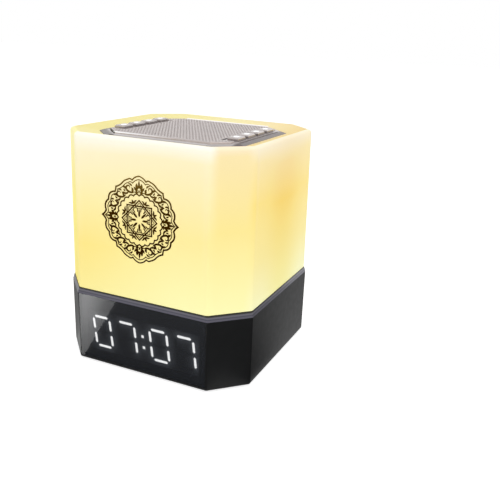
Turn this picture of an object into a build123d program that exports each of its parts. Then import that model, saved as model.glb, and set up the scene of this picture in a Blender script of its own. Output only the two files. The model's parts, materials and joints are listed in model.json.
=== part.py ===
from build123d import *
import math
import os

# Azan clock: an eight-sided cube lamp with a speaker under its top panel and a clock display in its base.
#
# Frame: millimetres, +Z up, origin at the centre of the underside of the feet, display facing -Y.
# From the bottom up: rubber feet, base plate, base shell with the display, battery and main board,
# trim ring, lit shade round a hollow core tower, and the control panel with keys, grille and speaker.

# ---- body outline ----
body_width = 116.0          # across the flats of the base, in X and in Y
corner_cut = 17.4           # leg of the 45 degree cut at each upright corner
foot_stand = 1.0            # how far the feet hold the base plate off the table
base_height = 39.6          # base shell alone
ring_height = 3.0           # bevelled part of the trim ring
ring_bevel = 0.9            # how far the bevel leans in over the ring's height
seat_step = 0.4             # shadow gap between trim ring and shade
shade_inset = 0.8           # shade wall stands this far inside the base wall
shade_height = 85.0
shade_wall = 2.4
shade_taper = 1.1           # the shade leans in by this much over its height
shade_corner = 3.0          # rounding of the shade's upright edges
rim_round = 2.2             # rounding of the shade's top outer edge
rim_land = 2.6              # from the shade's wall to the start of the sunken slope
panel_drop = 2.4            # the panel's outer edge lies this far under the shade's rim

# ---- base ----
base_wall = 2.4
base_corner = 1.5           # rounding of the base's and the trim ring's upright edges
base_round = 1.2            # rounding of the bottom edge
deck_thickness = 2.4
plate_thickness = 2.4
plate_clearance = 0.2
wire_hole_radius = 10.0     # hole in the deck, inside the core tower
foot_radius = 6.0
foot_recess = 1.0
foot_round = 0.4
foot_place = 38.0           # feet centres, in X and in Y
plate_screw_x = 48.0
plate_screw_y = 28.0
boss_radius = 3.5
plate_screw_length = 12.0   # depth of the screws in the bosses

# ---- screws: shank radius, head radius, head height ----
screw_shank = 1.3
screw_head = 2.6
screw_head_height = 1.3
small_shank = 0.9
small_head = 1.8
small_head_height = 1.1
cross_width = 0.5           # cross recess in the heads
cross_depth = 0.6
pilot_clearance = 0.05

# ---- trim ring ----
ring_inner_width = 94.0
ring_seat_inset = 1.2       # seat of the shade starts this far inside the shade's face
collar_height = 4.0
collar_wall = 1.6
collar_clearance = 0.15
collar_lead = 0.4           # the collar leans in so that the shade slips over it
ring_screw_place = 50.0     # distance of the ring's screws from the middle
ring_screw_depth = 6.0      # depth of the screws in the deck

# ---- front lens and display ----
lens_thickness = 1.8
lens_margin = 0.8           # shell left beside and below the lens
lens_gap = 0.1
front_wall = 2.2            # wall left behind the lens
module_width = 70.0
module_height = 23.6
module_depth = 8.0
module_clearance = 0.3
module_lens_gap = 0.15
display_z = 18.3            # middle of the digits above the base shell's underside
display_x = 0.7
digit_height = 17.4         # between the middles of the top and bottom segments
digit_width = 10.6          # between the middles of the left and right segments
digit_pitch = 16.2
colon_room = 20.4           # between the digits on either side of the colon
digit_slant = 7.0           # degrees that the digits lean back, to the left at the top
segment_width = 1.4
segment_depth = 1.0
level_gap = 1.0             # from the tips of a level segment to the digit's corners
upright_gap = 1.15          # from the tips of an upright segment to the digit's corners
colon_spacing = 6.4
colon_size = 1.5
time_shown = "0707"
display_board_width = 82.0
display_board_height = 26.0
board_thickness = 1.6
display_post_x = 38.3
display_post_spacing = 15.0
display_post_radius = 2.0
display_screw_length = 6.0
ir_x = 38.3
ir_radius = 1.5
ir_window_clearance = 0.15
ir_body = 4.0

# ---- main board and its sockets ----
main_board_width = 72.0
main_board_depth = 43.0
main_board_height = 4.6     # standoff under the board
board_screw_length = 5.0
board_wall_gap = 0.4
standoff_radius = 2.6
standoff_inset = 5.0        # from the board's sides and front edge
rear_standoff = 18.0        # from the board's rear edge
chip_line = 15.5            # middle of the packages, behind the board's front edge
chips = ((-6.0, 9.0, 9.0, 1.2), (8.0, 6.0, 5.0, 1.4), (20.0, 5.0, 6.0, 1.5))  # x, width, depth, height
capacitor_line = 11.0
capacitor_places = (-22.0, -16.0)
capacitor_radius = 2.5
capacitor_height = 7.0
usb_x = 6.0
usb_width = 7.6
usb_height = 2.8
usb_depth = 6.4
usb_cut = 1.0               # slanted lower corners
usb_shell = 0.35
tongue_width = 3.8
tongue_thickness = 0.6
tongue_setback = 1.4
socket_setback = 0.8        # socket mouths stand this far inside the rear face
port_clearance = 0.3
jack_x = -10.0
jack_width = 6.4
jack_depth = 12.0
jack_height = 5.4
jack_barrel_radius = 2.9
jack_bore_radius = 1.8
jack_bore_length = 12.4
card_x = 24.0
card_width = 11.0
card_length = 15.0
card_thickness = 0.8
card_clearance = 0.15
card_socket_wall = 0.4
card_socket_margin = 1.2
card_tail = 0.3             # from the card's end to the rear face
card_notch = 1.6
ridge_width = 7.7           # raised grip at the card's outer end
ridge_depth = 0.6
ridge_height = 0.15
switch_x = -27.0
switch_width = 8.6
switch_depth = 4.6
switch_height = 3.8
knob_width = 4.0
knob_height = 2.4
knob_stem_width = 1.8
knob_stem_height = 1.2
knob_travel = 2.0
knob_clearance = 0.2
knob_head_depth = 1.4
knob_stem_reach = 2.4
knob_grooves = 3
knob_groove_width = 0.4
knob_groove_depth = 0.3

# ---- battery ----
cell_radius = 9.2
cell_length = 65.0
cell_y = -22.0
cradle_floor = 1.6
cradle_wall = 2.2
cradle_clearance = 0.1
cradle_height = 9.0
cell_round = 0.6
cap_radius = 3.2
cap_height = 1.2

# ---- core tower and light board ----
tower_radius = 17.0
tower_wall = 2.0
tower_flange_radius = 24.0
tower_flange = 2.4
tower_screw_circle = 20.6
tower_screw_depth = 5.4
tower_cup_height = 2.0
tower_window_width = 12.0
tower_window_height = 9.0
light_board_radius = 38.0
light_board_thickness = 1.2
light_board_clearance = 0.4
light_count = 12
light_circle = 31.5
light_size = 5.0
light_height = 1.6
light_bevel = 0.3

# ---- control panel, grille and keys ----
panel_width = 88.2
panel_cut = 15.0
panel_thickness = 2.8
panel_bevel_width = 2.6     # sloping border round the panel's flat top
panel_bevel_drop = 0.8
panel_clearance = 0.2
panel_skirt = 4.0
panel_skirt_wall = 1.4
ledge_width = 2.5
ledge_thickness = 2.4
hook_width = 8.0
hook_reach = 0.9
hook_height = 1.6
grille_width = 74.0
grille_cut = 8.0
grille_thickness = 1.1
grille_seat = 0.3           # depth of the panel's recess for the grille
grille_clearance = 0.2
grille_edge = 0.5           # rounding of the grille's upper edge
hole_radius = 0.55
hole_pitch = 1.9
hole_margin = 1.5
sound_gap = 0.5             # the panel's opening is wider than the speaker's mouth
island_x = 35.0             # middle of the row of keys
island_width = 10.6
island_margin = 1.6         # from the end keys to the island's ends
island_rise = 0.3
island_gap = 0.5
key_width = 6.2
key_length = 9.0
key_pitch = 12.6
key_count = 4
key_rise = 2.1              # key top over the panel
key_bevel = 0.6
key_gap = 0.25
key_lip = 0.5
key_lip_thickness = 0.8
key_post_radius = 1.3
key_post_length = 0.7
key_travel = 0.5
stem_radius = 1.6
stem_out = 0.8
stem_in = 1.0
stem_clearance = 0.12
tact_size = 6.0
tact_height = 3.1
key_board_width = 10.4
key_board_length = 62.0
key_post_place = 28.0       # posts that carry the key boards, along the row of keys
key_screw_length = 5.0
panel_post_radius = 2.2

# ---- speaker ----
speaker_seat = 2.5          # ring under the panel that the speaker is screwed to
flange_radius = 27.5
flange_thickness = 1.0
basket_mouth_radius = 22.0
basket_depth = 12.0
basket_wall = 0.9
basket_foot_radius = 15.6
basket_windows = 4
basket_window_width = 11.0
speaker_screw_circle = 25.3
speaker_screw_length = 4.0
pole_radius = 6.4
coil_inner_radius = 6.7
coil_wall = 0.5
coil_gap = 0.3
top_plate_radius = 14.5
top_plate_thickness = 3.0
yoke_radius = 14.5
magnet_radius = 16.0
magnet_hole_radius = 9.0
magnet_thickness = 8.0
yoke_thickness = 3.0
coil_length = 12.0
cone_radius = 18.6
cone_wall = 0.6
cone_drop = 6.4
surround_drop = 0.4         # edges of the surround under the basket's flange
surround_height = 1.4
surround_wall = 0.5
spider_thickness = 0.4
spider_wave = 0.2
spider_waves = 5
spider_rise = 2.4
spider_ledge = 1.0
glue_gap = 0.05             # between the moving cone or coil and what is glued to it
dust_cap_rise = 2.2

# ---- wires ----
wire_radius = 0.7
cable_radius = 1.1
wire_spacing = 3.0          # between the two wires of a pair
cable_spacing = 8.0         # between the two key cables inside the tower
terminal_rise = 7.0         # speaker terminals above the basket's floor
connector_width = 6.0
connector_depth = 4.0
connector_height = 4.0
connector_inset = 1.0       # from the board's front edge
connector_x = {"battery": -20.0, "left_keys": -10.0, "speaker": 0.0, "right_keys": 10.0, "display": 24.0}

# ---- levels worked out from the sizes above ----
base_z0 = foot_stand
base_z1 = base_z0 + base_height
deck_z0 = base_z1 - deck_thickness
plate_z1 = base_z0 + plate_thickness
ring_z1 = base_z1 + ring_height
seat_z = ring_z1 + seat_step
shade_z1 = seat_z + shade_height
panel_edge_z = shade_z1 - panel_drop
panel_z = panel_edge_z + panel_bevel_drop
panel_z0 = panel_z - panel_thickness
panel_opening = panel_width + 2 * panel_clearance
ledge_z0 = panel_z0 - ledge_thickness
half = body_width / 2
inner_half = half - base_wall
shade_half = half - shade_inset
board_z0 = plate_z1 + main_board_height
board_z1 = board_z0 + board_thickness
board_y1 = inner_half - board_wall_gap
board_y0 = board_y1 - main_board_depth
lens_width = 2 * (half - corner_cut - lens_margin)
lens_z0 = base_z0 + base_round + lens_margin
lens_back_y = -half + lens_thickness
front_wall_y0 = lens_back_y + lens_gap
front_wall_y1 = front_wall_y0 + front_wall
module_y0 = lens_back_y + module_lens_gap
module_y1 = module_y0 + module_depth
digits_z = base_z0 + display_z
cell_z = plate_z1 + cradle_floor + cell_radius
speaker_z = panel_z0 - speaker_seat
flange_z0 = speaker_z - flange_thickness
basket_z0 = flange_z0 - basket_depth
top_plate_z0 = basket_z0 - top_plate_thickness
magnet_z0 = top_plate_z0 - magnet_thickness
yoke_z0 = magnet_z0 - yoke_thickness
coil_outer_radius = coil_inner_radius + coil_wall
surround_z1 = speaker_z - surround_drop
coil_z1 = speaker_z - cone_drop
island_length = (key_count - 1) * key_pitch + key_length + 2 * island_margin
switch_top_z = panel_z0 - key_lip_thickness - key_post_length - stem_out
key_board_z1 = switch_top_z - tact_height
key_board_z0 = key_board_z1 - board_thickness
tower_flange_z1 = base_z1 + tower_flange
light_board_z1 = tower_flange_z1 + light_board_thickness
socket_y1 = half - socket_setback
card_y1 = half - card_tail
card_z0 = board_z1 + card_socket_wall + card_clearance
jack_z = board_z1 + jack_barrel_radius
knob_z = board_z1 + switch_height / 2
connector_y = board_y0 + connector_inset + connector_depth / 2
connector_z1 = board_z1 + connector_height
sound_radius = basket_mouth_radius + sound_gap
tower_window_z1 = yoke_z0 - tower_wall


# ---- helpers ----
def octagon(width, cut, inset=0.0, rounding=0.0):
    """A square face with its corners cut at 45 degrees, moved in on every side by inset."""
    h = width / 2 - inset
    c = cut - inset * (2 - math.sqrt(2))
    points = [(h - c, -h), (h, c - h), (h, h - c), (h - c, h),
              (c - h, h), (-h, h - c), (-h, c - h), (c - h, -h)]
    face = make_face(Polyline(*points, close=True))
    return fillet(face.vertices(), rounding) if rounding else face


def prism(face, z0, z1):
    """A flat face drawn at z = 0, raised to z0 and extruded up to z1."""
    return extrude(Pos(0, 0, z0) * face, amount=z1 - z0, dir=(0, 0, 1))


def drafted(lower, z0, upper, z1):
    """A solid with straight sides between two like faces drawn at z = 0."""
    return loft([Pos(0, 0, z0) * lower, Pos(0, 0, z1) * upper], ruled=True)


def slab(x, y, z):
    """A box from its (low, high) limits on each axis."""
    size = [high - low for low, high in (x, y, z)]
    middle = [(low + high) / 2 for low, high in (x, y, z)]
    return Pos(*middle) * Box(*size)


def either_side(middle, size):
    """The (low, high) limits of a size about its middle."""
    return (middle - size / 2, middle + size / 2)


def rod(x, y, z0, z1, radius):
    """An upright cylinder."""
    return Pos(x, y, (z0 + z1) / 2) * Cylinder(radius, z1 - z0)


def rod_x(y, z, x0, x1, radius):
    """A cylinder along X."""
    return Pos((x0 + x1) / 2, y, z) * Rot(0, 90, 0) * Cylinder(radius, x1 - x0)


def rod_y(x, z, y0, y1, radius):
    """A cylinder along Y."""
    return Pos(x, (y0 + y1) / 2, z) * Rot(90, 0, 0) * Cylinder(radius, y1 - y0)


def tube(z0, z1, outer, inner):
    """An upright ring on the Z axis."""
    return rod(0, 0, z0, z1, outer) - rod(0, 0, z0, z1, inner)


def spun(points):
    """A solid turned about Z from an outline of (radius, z) points."""
    outline = make_face(Polyline(*[(r, 0, z) for r, z in points], close=True))
    return revolve(outline, axis=Axis.Z)


def panel_along_y(points, y0, y1):
    """A solid from an outline of (x, z) points, extruded from y0 to y1."""
    outline = make_face(Polyline(*[(x, y0, z) for x, z in points], close=True))
    return extrude(outline, amount=y1 - y0, dir=(0, 1, 0))


def screw(length, shank, head, head_height):
    """A pan-head screw pointing up, its head under z = 0, with a cross recess."""
    body = rod(0, 0, 0, length, shank) + rod(0, 0, -head_height, 0, head)
    reach = either_side(0, head)
    across = either_side(0, cross_width)
    depth = (-head_height, -head_height + cross_depth)
    return body - slab(reach, across, depth) - slab(across, reach, depth)


def screw_up(x, y, z, length):
    """A housing screw driven upwards, its head under the face at z."""
    return Pos(x, y, z) * screw(length, screw_shank, screw_head, screw_head_height)


def screw_down(x, y, z, length):
    """A housing screw driven downwards, its head on the face at z."""
    return Pos(x, y, z) * Rot(180, 0, 0) * screw(length, screw_shank, screw_head, screw_head_height)


def small_screw(place, length):
    """A small screw at a place that also turns it."""
    return place * screw(length, small_shank, small_head, small_head_height)


def group(solids):
    """Separate solids kept in one node."""
    return Compound(children=[s for part in solids for s in part.solids()])


def wire(points, radius):
    """A round wire along straight runs joined by arcs as large as the runs allow."""
    runs = [Vector(*b) - Vector(*a) for a, b in zip(points, points[1:])]
    bends = []
    for before, after in zip(runs, runs[1:]):
        half_turn = math.radians(before.get_angle(after) / 2)
        bends.append(0.45 * min(before.length, after.length) / math.tan(half_turn))
    path = FilletPolyline(*points, radius=bends)
    section = Plane(origin=path @ 0, z_dir=path % 0) * Circle(radius)
    return sweep(section, path=path)


def around(count, radius, start=0.0):
    """Places on a circle, as (x, y, angle in degrees)."""
    angles = [start + 360.0 * i / count for i in range(count)]
    return [(radius * math.cos(math.radians(a)), radius * math.sin(math.radians(a)), a) for a in angles]


def corners(x, y):
    """The four places at plus and minus x and y."""
    return [(sx * x, sy * y) for sx in (-1, 1) for sy in (-1, 1)]


# ---- shade ----
def shade_form(inset, rounding=0.0):
    """The shade's outer form, moved in on every side by inset."""
    width = 2 * shade_half
    return drafted(octagon(width, corner_cut, inset, rounding), seat_z,
                   octagon(width, corner_cut, inset + shade_taper, rounding), shade_z1)


def top_slope():
    """The sunken space over the panel, with the sloping sides of the shade's top."""
    upper = octagon(2 * shade_half, corner_cut, shade_taper + rim_land)
    return drafted(octagon(panel_opening, panel_cut), panel_edge_z, upper, shade_z1)


def lamp_shade():
    """Milky shade: eight-sided tube, its top sloping down to a ledge that holds the control panel."""
    outer = shade_form(0, shade_corner)
    outer = fillet(outer.faces().sort_by(Axis.Z)[-1].edges(), rim_round)
    hollow = shade_form(shade_wall)
    hollow -= prism(octagon(body_width, corner_cut), shade_z1 - shade_wall, shade_z1)
    hollow -= Pos(0, 0, -shade_wall) * top_slope()
    hollow -= prism(octagon(panel_opening, panel_cut, -shade_wall), ledge_z0, shade_z1)
    shade = outer - top_slope() - hollow
    shade -= prism(octagon(panel_opening, panel_cut), panel_z0, shade_z1)
    shade -= prism(octagon(panel_opening, panel_cut, ledge_width), ledge_z0, panel_z0)
    return shade


# ---- trim ring between base and shade ----
def ring_screw_places():
    """Four places on the flats of the trim ring."""
    return [(x, y) for x, y, _ in around(4, ring_screw_place)]


def trim_ring():
    """Bevelled ring with a seat and a collar for the shade."""
    ring = drafted(octagon(body_width, corner_cut, 0, base_corner), base_z1,
                   octagon(body_width, corner_cut, ring_bevel, base_corner), ring_z1)
    width = 2 * shade_half
    ring += prism(octagon(width, corner_cut, ring_seat_inset, base_corner), ring_z1, seat_z)
    collar_inset = shade_wall + collar_clearance
    collar = drafted(octagon(width, corner_cut, collar_inset), seat_z,
                     octagon(width, corner_cut, collar_inset + collar_lead), seat_z + collar_height)
    ring += collar
    ring -= prism(octagon(width, corner_cut, collar_inset + collar_wall), ring_z1, seat_z + collar_height)
    ring -= prism(octagon(ring_inner_width, corner_cut), base_z1, ring_z1)
    for x, y in ring_screw_places():
        ring -= rod(x, y, base_z1, ring_z1, screw_shank + pilot_clearance)
    return ring


def ring_screws():
    """Four screws that hold the trim ring to the deck."""
    return group([screw_down(x, y, ring_z1, ring_height + ring_screw_depth) for x, y in ring_screw_places()])


# ---- base ----
def rear_openings():
    """Cut-outs in the rear wall for the sockets, the card and the switch."""
    y = (inner_half - pilot_clearance, half + pilot_clearance)
    card_z = card_z0 + card_thickness / 2
    usb_z = board_z1 + usb_height / 2
    cuts = slab(either_side(usb_x, usb_width + 2 * port_clearance), y,
                either_side(usb_z, usb_height + 2 * port_clearance))
    cuts += slab(either_side(card_x, card_width + 2 * port_clearance), y,
                 either_side(card_z, card_thickness + 2 * port_clearance))
    cuts += slab(either_side(switch_x, knob_width + knob_travel + 2 * knob_clearance), y,
                 either_side(knob_z, knob_height + 2 * knob_clearance))
    cuts += rod_y(jack_x, jack_z, *y, jack_barrel_radius + port_clearance)
    return cuts


def plate_screw_places():
    """Places of the four base plate screws."""
    return corners(plate_screw_x, plate_screw_y)


def tower_screw_places():
    """Places of the four screws through the core tower's flange."""
    return [(x, y) for x, y, _ in around(4, tower_screw_circle, 45)]


def base_shell():
    """Eight-sided shell, open below, with the deck, the lens pocket, the display window and the bosses."""
    outer = prism(octagon(body_width, corner_cut, 0, base_corner), base_z0, base_z1)
    outer = fillet(outer.faces().sort_by(Axis.Z)[0].edges(), base_round)
    shell = outer - prism(octagon(body_width, corner_cut, base_wall), base_z0, deck_z0)
    backing = slab((-half, half), (-half, front_wall_y1), (plate_z1 + plate_clearance, deck_z0))
    shell += backing & outer
    shell -= slab(either_side(0, lens_width + 2 * lens_gap), (-half, front_wall_y0),
                  (lens_z0 - lens_gap, base_z1))
    window_z = either_side(digits_z, module_height + 2 * module_clearance)
    shell -= slab(either_side(0, module_width + 2 * module_clearance), (-half, front_wall_y1), window_z)
    shell -= rod_y(ir_x, digits_z, -half, front_wall_y1, ir_radius + ir_window_clearance)
    for x, y in plate_screw_places():
        shell += rod(x, y, plate_z1, deck_z0, boss_radius)
        rib_x = sorted((x, math.copysign(inner_half, x)))
        shell += slab(rib_x, either_side(y, base_wall), (plate_z1, deck_z0))
        shell -= rod(x, y, plate_z1, plate_z1 + plate_screw_length, screw_shank + pilot_clearance)
    for x, y in ring_screw_places():
        shell += rod(x, y, base_z1 - ring_screw_depth, base_z1, screw_head)
        shell -= rod(x, y, base_z1 - ring_screw_depth, base_z1, screw_shank + pilot_clearance)
    for x, y in tower_screw_places():
        shell += rod(x, y, base_z1 - tower_screw_depth, base_z1, screw_head)
        shell -= rod(x, y, base_z1 - tower_screw_depth, base_z1, screw_shank + pilot_clearance)
    for x, z in display_post_places():
        shell += rod_y(x, z, front_wall_y1, module_y1, display_post_radius)
        shell -= rod_y(x, z, front_wall_y1, module_y1, small_shank + pilot_clearance)
    shell -= rod(0, 0, deck_z0, base_z1, wire_hole_radius)
    return shell - rear_openings()


def foot_places():
    """Centres of the four feet."""
    return corners(foot_place, foot_place)


def standoff_places():
    """Places of the main board's four standoffs."""
    x = main_board_width / 2 - standoff_inset
    return [(sx * x, y) for sx in (-1, 1) for y in (board_y0 + standoff_inset, board_y1 - rear_standoff)]


def base_plate():
    """Bottom cover with recesses for the feet and the screws, and standoffs for the main board."""
    plate = prism(octagon(body_width, corner_cut, base_wall + plate_clearance), base_z0, plate_z1)
    for x, y in foot_places():
        plate -= rod(x, y, base_z0, base_z0 + foot_recess, foot_radius)
    for x, y in plate_screw_places():
        plate -= rod(x, y, base_z0, base_z0 + screw_head_height, screw_head + plate_clearance)
        plate -= rod(x, y, base_z0, plate_z1, screw_shank + pilot_clearance)
    for x, y in standoff_places():
        plate += rod(x, y, plate_z1, board_z0, standoff_radius)
        plate -= rod(x, y, plate_z1, board_z0, small_shank + pilot_clearance)
    return plate


def plate_screws():
    """Four screws that close the base from below."""
    z = base_z0 + screw_head_height
    length = plate_z1 - z + plate_screw_length
    return group([screw_up(x, y, z, length) for x, y in plate_screw_places()])


def rubber_feet():
    """Four round feet pressed into the base plate."""
    feet = []
    for x, y in foot_places():
        foot = rod(x, y, 0, base_z0 + foot_recess, foot_radius)
        feet.append(fillet(foot.faces().sort_by(Axis.Z)[0].edges(), foot_round))
    return group(feet)


# ---- display ----
def front_lens():
    """Dark glossy panel over the whole front of the base."""
    return slab(either_side(0, lens_width), (-half, lens_back_y), (lens_z0, base_z1 - lens_gap))


def segment_outline(length, upright):
    """Points of one display segment about its middle: a bar with pointed ends."""
    a, b = length / 2, segment_width / 2
    bar = [(-a, 0), (b - a, -b), (a - b, -b), (a, 0), (a - b, b), (b - a, b)]
    return [(z, x) for x, z in bar] if upright else bar


def slanted(points, x, z):
    """Points moved to (x, z) from the digits' middle and leaned by the slant."""
    lean = math.tan(math.radians(digit_slant))
    return [(display_x + x + px - lean * (z + pz), digits_z + z + pz) for px, pz in points]


def digit_segments(x):
    """Outlines of a digit's segments, clockwise from the top one, then the middle one."""
    w, h = digit_width / 2, digit_height / 2
    across = segment_outline(digit_width - 2 * level_gap, False)
    along = segment_outline(h - 2 * upright_gap, True)
    places = [(0, h, across), (w, h / 2, along), (w, -h / 2, along), (0, -h, across), (-w, -h / 2, along),
              (-w, h / 2, along), (0, 0, across)]
    return [slanted(points, x + dx, dz) for dx, dz, points in places]


def colon_outlines():
    """The two square dots between hours and minutes."""
    s = colon_size / 2
    square = [(-s, -s), (s, -s), (s, s), (-s, s)]
    return [slanted(square, 0, dz) for dz in (-colon_spacing / 2, colon_spacing / 2)]


def display_outlines():
    """Outlines of the lit and of the dark segments."""
    lit_parts = {"0": (0, 1, 2, 3, 4, 5), "7": (0, 1, 2)}
    inner = colon_room / 2
    outer = inner + digit_pitch
    lit = colon_outlines()
    dark = []
    for place, shown in zip((-outer, -inner, inner, outer), time_shown):
        for number, outline in enumerate(digit_segments(place)):
            (lit if number in lit_parts[shown] else dark).append(outline)
    return lit, dark


def light_bars(outlines):
    """Light bars in the front of the display housing."""
    return [panel_along_y(outline, module_y0, module_y0 + segment_depth) for outline in outlines]


def display_housing():
    """Black housing with a pocket for each light bar."""
    housing = slab(either_side(0, module_width), (module_y0, module_y1), either_side(digits_z, module_height))
    lit, dark = display_outlines()
    for bar in light_bars(lit + dark):
        housing -= bar
    return housing


def display_post_places():
    """Places in X and Z of the four posts behind the front wall."""
    levels = either_side(digits_z, display_post_spacing)
    return [(sx * display_post_x, z) for sx in (-1, 1) for z in levels]


def display_board():
    """Circuit board that carries the display housing and the remote control receiver."""
    back = module_y1 + board_thickness
    board = slab(either_side(0, display_board_width), (module_y1, back),
                 either_side(digits_z, display_board_height))
    for x, z in display_post_places():
        board -= rod_y(x, z, module_y1, back, small_shank + pilot_clearance)
    return board


def display_screws():
    """Four small screws through the display board into the posts."""
    back = module_y1 + board_thickness
    places = [Pos(x, back, z) * Rot(90, 0, 0) for x, z in display_post_places()]
    return group([small_screw(place, display_screw_length) for place in places])


def remote_receiver():
    """Remote control receiver on the display board, looking through its window."""
    front = front_wall_y1 + module_clearance
    body = slab(either_side(ir_x, ir_body), (front, module_y1), either_side(digits_z, ir_body))
    return body + rod_y(ir_x, digits_z, front_wall_y0, front, ir_radius)


# ---- main board, sockets, switch and card ----
def main_board():
    """Main circuit board on the base plate's standoffs."""
    board = slab(either_side(0, main_board_width), (board_y0, board_y1), (board_z0, board_z1))
    for x, y in standoff_places():
        board -= rod(x, y, board_z0, board_z1, small_shank + pilot_clearance)
    return board


def main_board_screws():
    """Four small screws that hold the main board."""
    places = [Pos(x, y, board_z1) * Rot(180, 0, 0) for x, y in standoff_places()]
    return group([small_screw(place, board_screw_length) for place in places])


def board_chips():
    """Processor, amplifier and memory packages on the main board."""
    y = board_y0 + chip_line
    return group([slab(either_side(x, width), either_side(y, depth), (board_z1, board_z1 + height))
                  for x, width, depth, height in chips])


def board_capacitors():
    """Upright electrolytic capacitors on the main board."""
    y = board_y0 + capacitor_line
    top = board_z1 + capacitor_height
    return group([rod(x, y, board_z1, top, capacitor_radius) for x in capacitor_places])


def board_connectors():
    """Wire connectors along the front edge of the main board."""
    return group([slab(either_side(x, connector_width), either_side(connector_y, connector_depth),
                       (board_z1, connector_z1)) for x in connector_x.values()])


def usb_outline(inset):
    """Mouth of the charging socket: a flat rectangle with slanted lower corners."""
    w = usb_width / 2 - inset
    z0 = board_z1 + inset
    z1 = board_z1 + usb_height - inset
    points = [(usb_cut - w, z0), (w - usb_cut, z0), (w, z0 + usb_cut), (w, z1), (-w, z1), (-w, z0 + usb_cut)]
    return [(usb_x + x, z) for x, z in points]


def charging_socket():
    """Charging socket: a sheet-metal shell, closed at the back, with a tongue."""
    back = socket_y1 - usb_depth
    floor = back + 2 * usb_shell
    shell = panel_along_y(usb_outline(0), back, socket_y1)
    shell -= panel_along_y(usb_outline(usb_shell), floor, socket_y1)
    tongue_z = either_side(board_z1 + usb_height / 2, tongue_thickness)
    return shell + slab(either_side(usb_x, tongue_width), (floor, socket_y1 - tongue_setback), tongue_z)


def headphone_socket():
    """Headphone socket with a round barrel through the rear wall."""
    body = slab(either_side(jack_x, jack_width), (board_y1 - jack_depth, board_y1),
                (board_z1, board_z1 + jack_height))
    body += rod_y(jack_x, jack_z, board_y1, socket_y1, jack_barrel_radius)
    return body - rod_y(jack_x, jack_z, socket_y1 - jack_bore_length, socket_y1, jack_bore_radius)


def card_socket():
    """Low metal socket that the memory card slides into."""
    y0 = card_y1 - card_length
    room = card_width + 2 * card_clearance
    z1 = card_z0 + card_thickness + card_clearance
    shell = slab(either_side(card_x, room + 2 * card_socket_wall), (y0 - card_socket_margin, board_y1),
                 (board_z1, z1 + card_socket_wall))
    slot = slab(either_side(card_x, room), (y0 - card_clearance, board_y1), (card_z0 - card_clearance, z1))
    return shell - slot


def memory_card():
    """Thin card with a cut corner and a raised grip at its outer end."""
    x0, x1 = either_side(card_x, card_width)
    y0 = card_y1 - card_length
    points = [(x0, card_y1), (x0, y0), (x1 - card_notch, y0), (x1, y0 + card_notch), (x1, card_y1)]
    top = card_z0 + card_thickness
    card = prism(make_face(Polyline(*points, close=True)), card_z0, top)
    ridge_y = (card_y1 - 2 * ridge_depth, card_y1 - ridge_depth)
    return card + slab(either_side(card_x, ridge_width), ridge_y, (top, top + ridge_height))


def power_switch_body():
    """Body of the slide switch, with a slot for the knob's stem."""
    body = slab(either_side(switch_x, switch_width), (board_y1 - switch_depth, board_y1),
                (board_z1, board_z1 + switch_height))
    slot_y = (board_y1 - knob_stem_reach - knob_clearance, board_y1)
    return body - slab(either_side(switch_x, knob_stem_width + knob_travel + 2 * knob_clearance), slot_y,
                       either_side(knob_z, knob_stem_height + 2 * knob_clearance))


def power_switch_knob():
    """Grooved knob of the power switch, at the end of its travel where the clock is on."""
    x = switch_x - knob_travel / 2
    y0 = socket_y1 - knob_head_depth
    level = either_side(knob_z, knob_height)
    knob = slab(either_side(x, knob_width), (y0, socket_y1), level)
    for i in range(knob_grooves):
        groove_x = x + (i - (knob_grooves - 1) / 2) * knob_width / knob_grooves
        groove_y = (socket_y1 - knob_groove_depth, socket_y1)
        knob -= slab(either_side(groove_x, knob_groove_width), groove_y, level)
    return knob + slab(either_side(x, knob_stem_width), (board_y1 - knob_stem_reach, y0),
                       either_side(knob_z, knob_stem_height))


# ---- battery ----
def battery_cell():
    """Round lithium cell lying along X, with its raised cap."""
    x0, x1 = either_side(-cap_height / 2, cell_length)
    cell = fillet(rod_x(cell_y, cell_z, x0, x1, cell_radius).edges(), cell_round)
    return cell + rod_x(cell_y, cell_z, x1, x1 + cap_height, cap_radius)


def battery_cradle():
    """Tray on the base plate that holds the cell from below and at its ends."""
    room = cell_length + cap_height + 2 * cradle_clearance
    width = 2 * (cell_radius + cradle_clearance + cradle_wall)
    tray = slab(either_side(0, room + 2 * cradle_wall), either_side(cell_y, width),
                (plate_z1, plate_z1 + cradle_height))
    return tray - rod_x(cell_y, cell_z, *either_side(0, room), cell_radius + cradle_clearance)


# ---- core tower and light board ----
def core_tower():
    """Hollow column on the deck: wires run inside it and its cup carries the speaker's magnet."""
    tower = rod(0, 0, base_z1, tower_flange_z1, tower_flange_radius)
    tower += rod(0, 0, base_z1, yoke_z0, tower_radius)
    tower -= rod(0, 0, base_z1, tower_window_z1, tower_radius - tower_wall)
    tower += tube(yoke_z0, yoke_z0 + tower_cup_height, tower_radius, yoke_radius + pilot_clearance)
    window_z = (tower_window_z1 - tower_window_height, tower_window_z1)
    tower -= slab(either_side(0, tower_window_width), (tower_radius / 2, tower_radius), window_z)
    for x, y in tower_screw_places():
        tower -= rod(x, y, base_z1, tower_flange_z1, screw_shank + pilot_clearance)
    return tower


def core_tower_screws():
    """Four screws through the light board and the tower's flange into the deck."""
    length = light_board_z1 - base_z1 + tower_screw_depth
    return group([screw_down(x, y, light_board_z1, length) for x, y in tower_screw_places()])


def light_board():
    """Ring-shaped circuit board of the lamp."""
    board = tube(tower_flange_z1, light_board_z1, light_board_radius, tower_radius + light_board_clearance)
    for x, y in tower_screw_places():
        board -= rod(x, y, tower_flange_z1, light_board_z1, screw_shank + pilot_clearance)
    return board


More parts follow.
